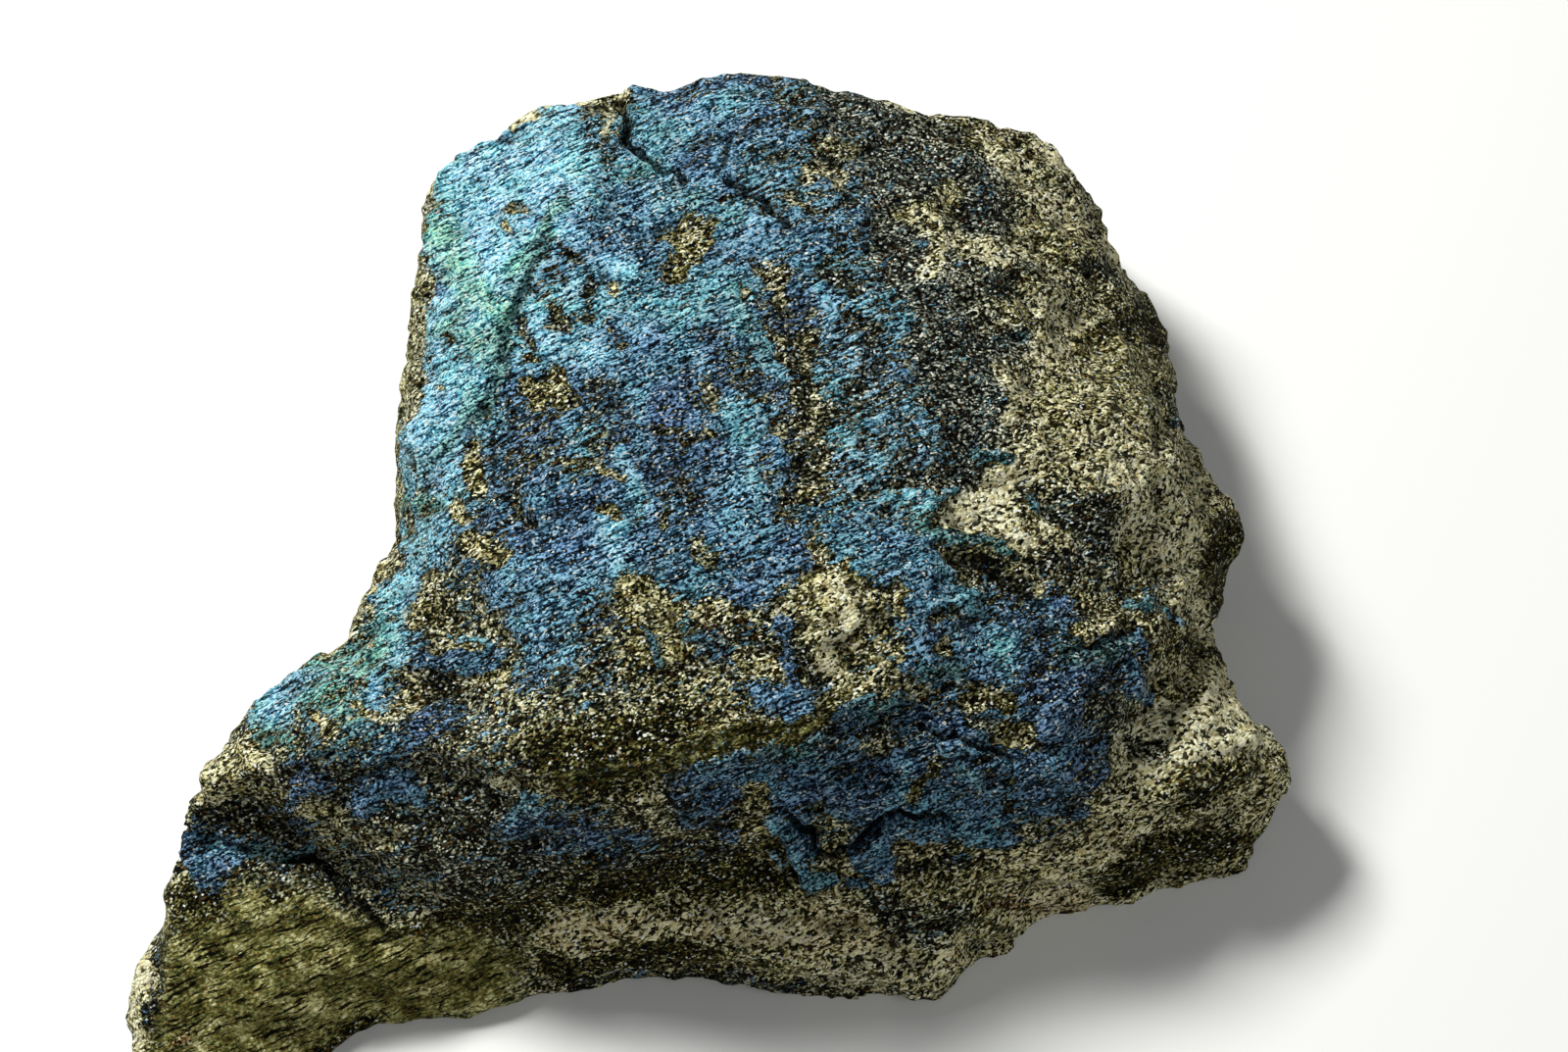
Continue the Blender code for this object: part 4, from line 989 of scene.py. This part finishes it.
    # where the crust ends, at a scale finer than the mesh
    edge = sum_of((crust, 1.0), (grit, 1.7), (wrinkles, 2.6), (1.0, -2.15))
    smoothstep = {"interpolation_type": "SMOOTHSTEP"}
    crusted = add_node(tree, "ShaderNodeMapRange", smoothstep, i0=edge, i1=0.44, i2=0.56).outputs[0]
    colour = mix(crusted, rock, blue)
    # a thin dark line on both sides of the crust's edge: painted shadow
    off_edge = math_node("ABSOLUTE", math_node("SUBTRACT", edge, 0.5))
    rim = math_node("SUBTRACT", 1.0, math_node("MULTIPLY", off_edge, 6.0), clamp=True)
    colour = mix(math_node("MULTIPLY", rim, 0.55), colour, stained(colour, "6c6c68"))

    # painted glints: white specks that stand in for highlights on feldspar; painted shade in hollows and
    # cracks
    painted_glint_mask = math_node("MAXIMUM", about_half(fine_colour.outputs[1], 60, 0.034), worn)
    colour = mix(painted_glint_mask, linear("dfe4da"), colour)
    shade = math_node("MAXIMUM", about_half(hollow, 1.5, 0.85), about_half(crack, 3.0))
    colour = mix(math_node("MULTIPLY", shade, 0.9), colour, stained(colour, "30332e"))
    tree.links.new(colour, shader.inputs["Base Color"])

    # the grains' own relief, too fine for the mesh
    on_crust = math_node("MULTIPLY", wrinkles, 1.5)
    on_rock = math_node("MULTIPLY", wrinkles, 0.5)
    on_rock = math_node("MULTIPLY_ADD", coarse.outputs["Distance"], -0.5, on_rock)
    height = add_node(tree, "ShaderNodeMix", i0=crusted, i2=on_rock, i3=on_crust).outputs[0]
    height = math_node("MULTIPLY_ADD", crusted, 0.25, height)
    height = math_node("MULTIPLY_ADD", grit, 0.6, height)
    height = math_node("MULTIPLY_ADD", fine_colour.outputs[0], 0.14, height)
    height = math_node("MULTIPLY", height, math_node("MULTIPLY_ADD", worn, -0.55, 1.0))
    bump = add_node(tree, "ShaderNodeBump", Strength=1.0, Distance=BUMP_DEPTH, Height=height)
    tree.links.new(bump.outputs[0], shader.inputs["Normal"])
    shader.inputs["Roughness"].default_value = 0.85
    shader.inputs["Specular IOR Level"].default_value = 0.05
    return material


def table_material():
    """Matt off-white laminate: even, with a soft sheen."""
    material = bpy.data.materials.new("matt off-white table")
    material.use_nodes = True
    shader = material.node_tree.nodes["Principled BSDF"]
    shader.inputs["Base Color"].default_value = linear("dcdcd8")
    shader.inputs["Roughness"].default_value = 0.7
    return material


# ---------------------------------------------------------------------------------------------------------
# Assembly
# ---------------------------------------------------------------------------------------------------------
TABLE_SIZE = 6.0  # m, so that its far edge is out of the picture
WORLD_STRENGTH = 0.14


def add_area_light(name, direction, distance, size, watts):
    """A square white softbox that shines on the stone from this direction."""
    bpy.ops.object.light_add(type="AREA", location=Vector(direction).normalized() * distance)
    lamp = bpy.context.object
    lamp.name = name
    lamp.data.size = size
    lamp.data.energy = watts
    lamp.rotation_mode = "QUATERNION"
    lamp.rotation_quaternion = (-Vector(direction)).to_track_quat("-Z", "Y")


stone = fine_copy(frame["nodes"]["stone"])
finish_surface(stone)
stone.data.materials.append(stone_material())
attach(stone, "root")
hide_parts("stone")

bpy.ops.object.select_all(action="DESELECT")
bpy.ops.mesh.primitive_plane_add(size=TABLE_SIZE, location=(0, 0, 0))
table = bpy.context.object
table.name = "table"
table.data.materials.append(table_material())

add_area_light("key softbox", direction=(-0.50, 0.36, 0.78), distance=0.9, size=0.24, watts=12.9)
add_area_light("front fill", direction=(0.66, -0.66, 0.62), distance=1.0, size=0.8, watts=3.0)

world = bpy.data.worlds.new("studio")
world.use_nodes = True
background = world.node_tree.nodes["Background"]
background.inputs["Color"].default_value = linear("e8eef2")
background.inputs["Strength"].default_value = WORLD_STRENGTH
bpy.context.scene.world = world

bpy.ops.object.camera_add(location=EYE * MM, rotation=(math.pi / 2 - EYE_ELEVATION, 0, 0))
camera = bpy.context.object
camera.data.lens = LENS_MM
camera.data.sensor_width = FRAME_WIDTH / EYE_DISTANCE * LENS_MM
camera.data.clip_start = 0.01
bpy.context.scene.camera = camera
bpy.context.scene.view_settings.view_transform = "Standard"
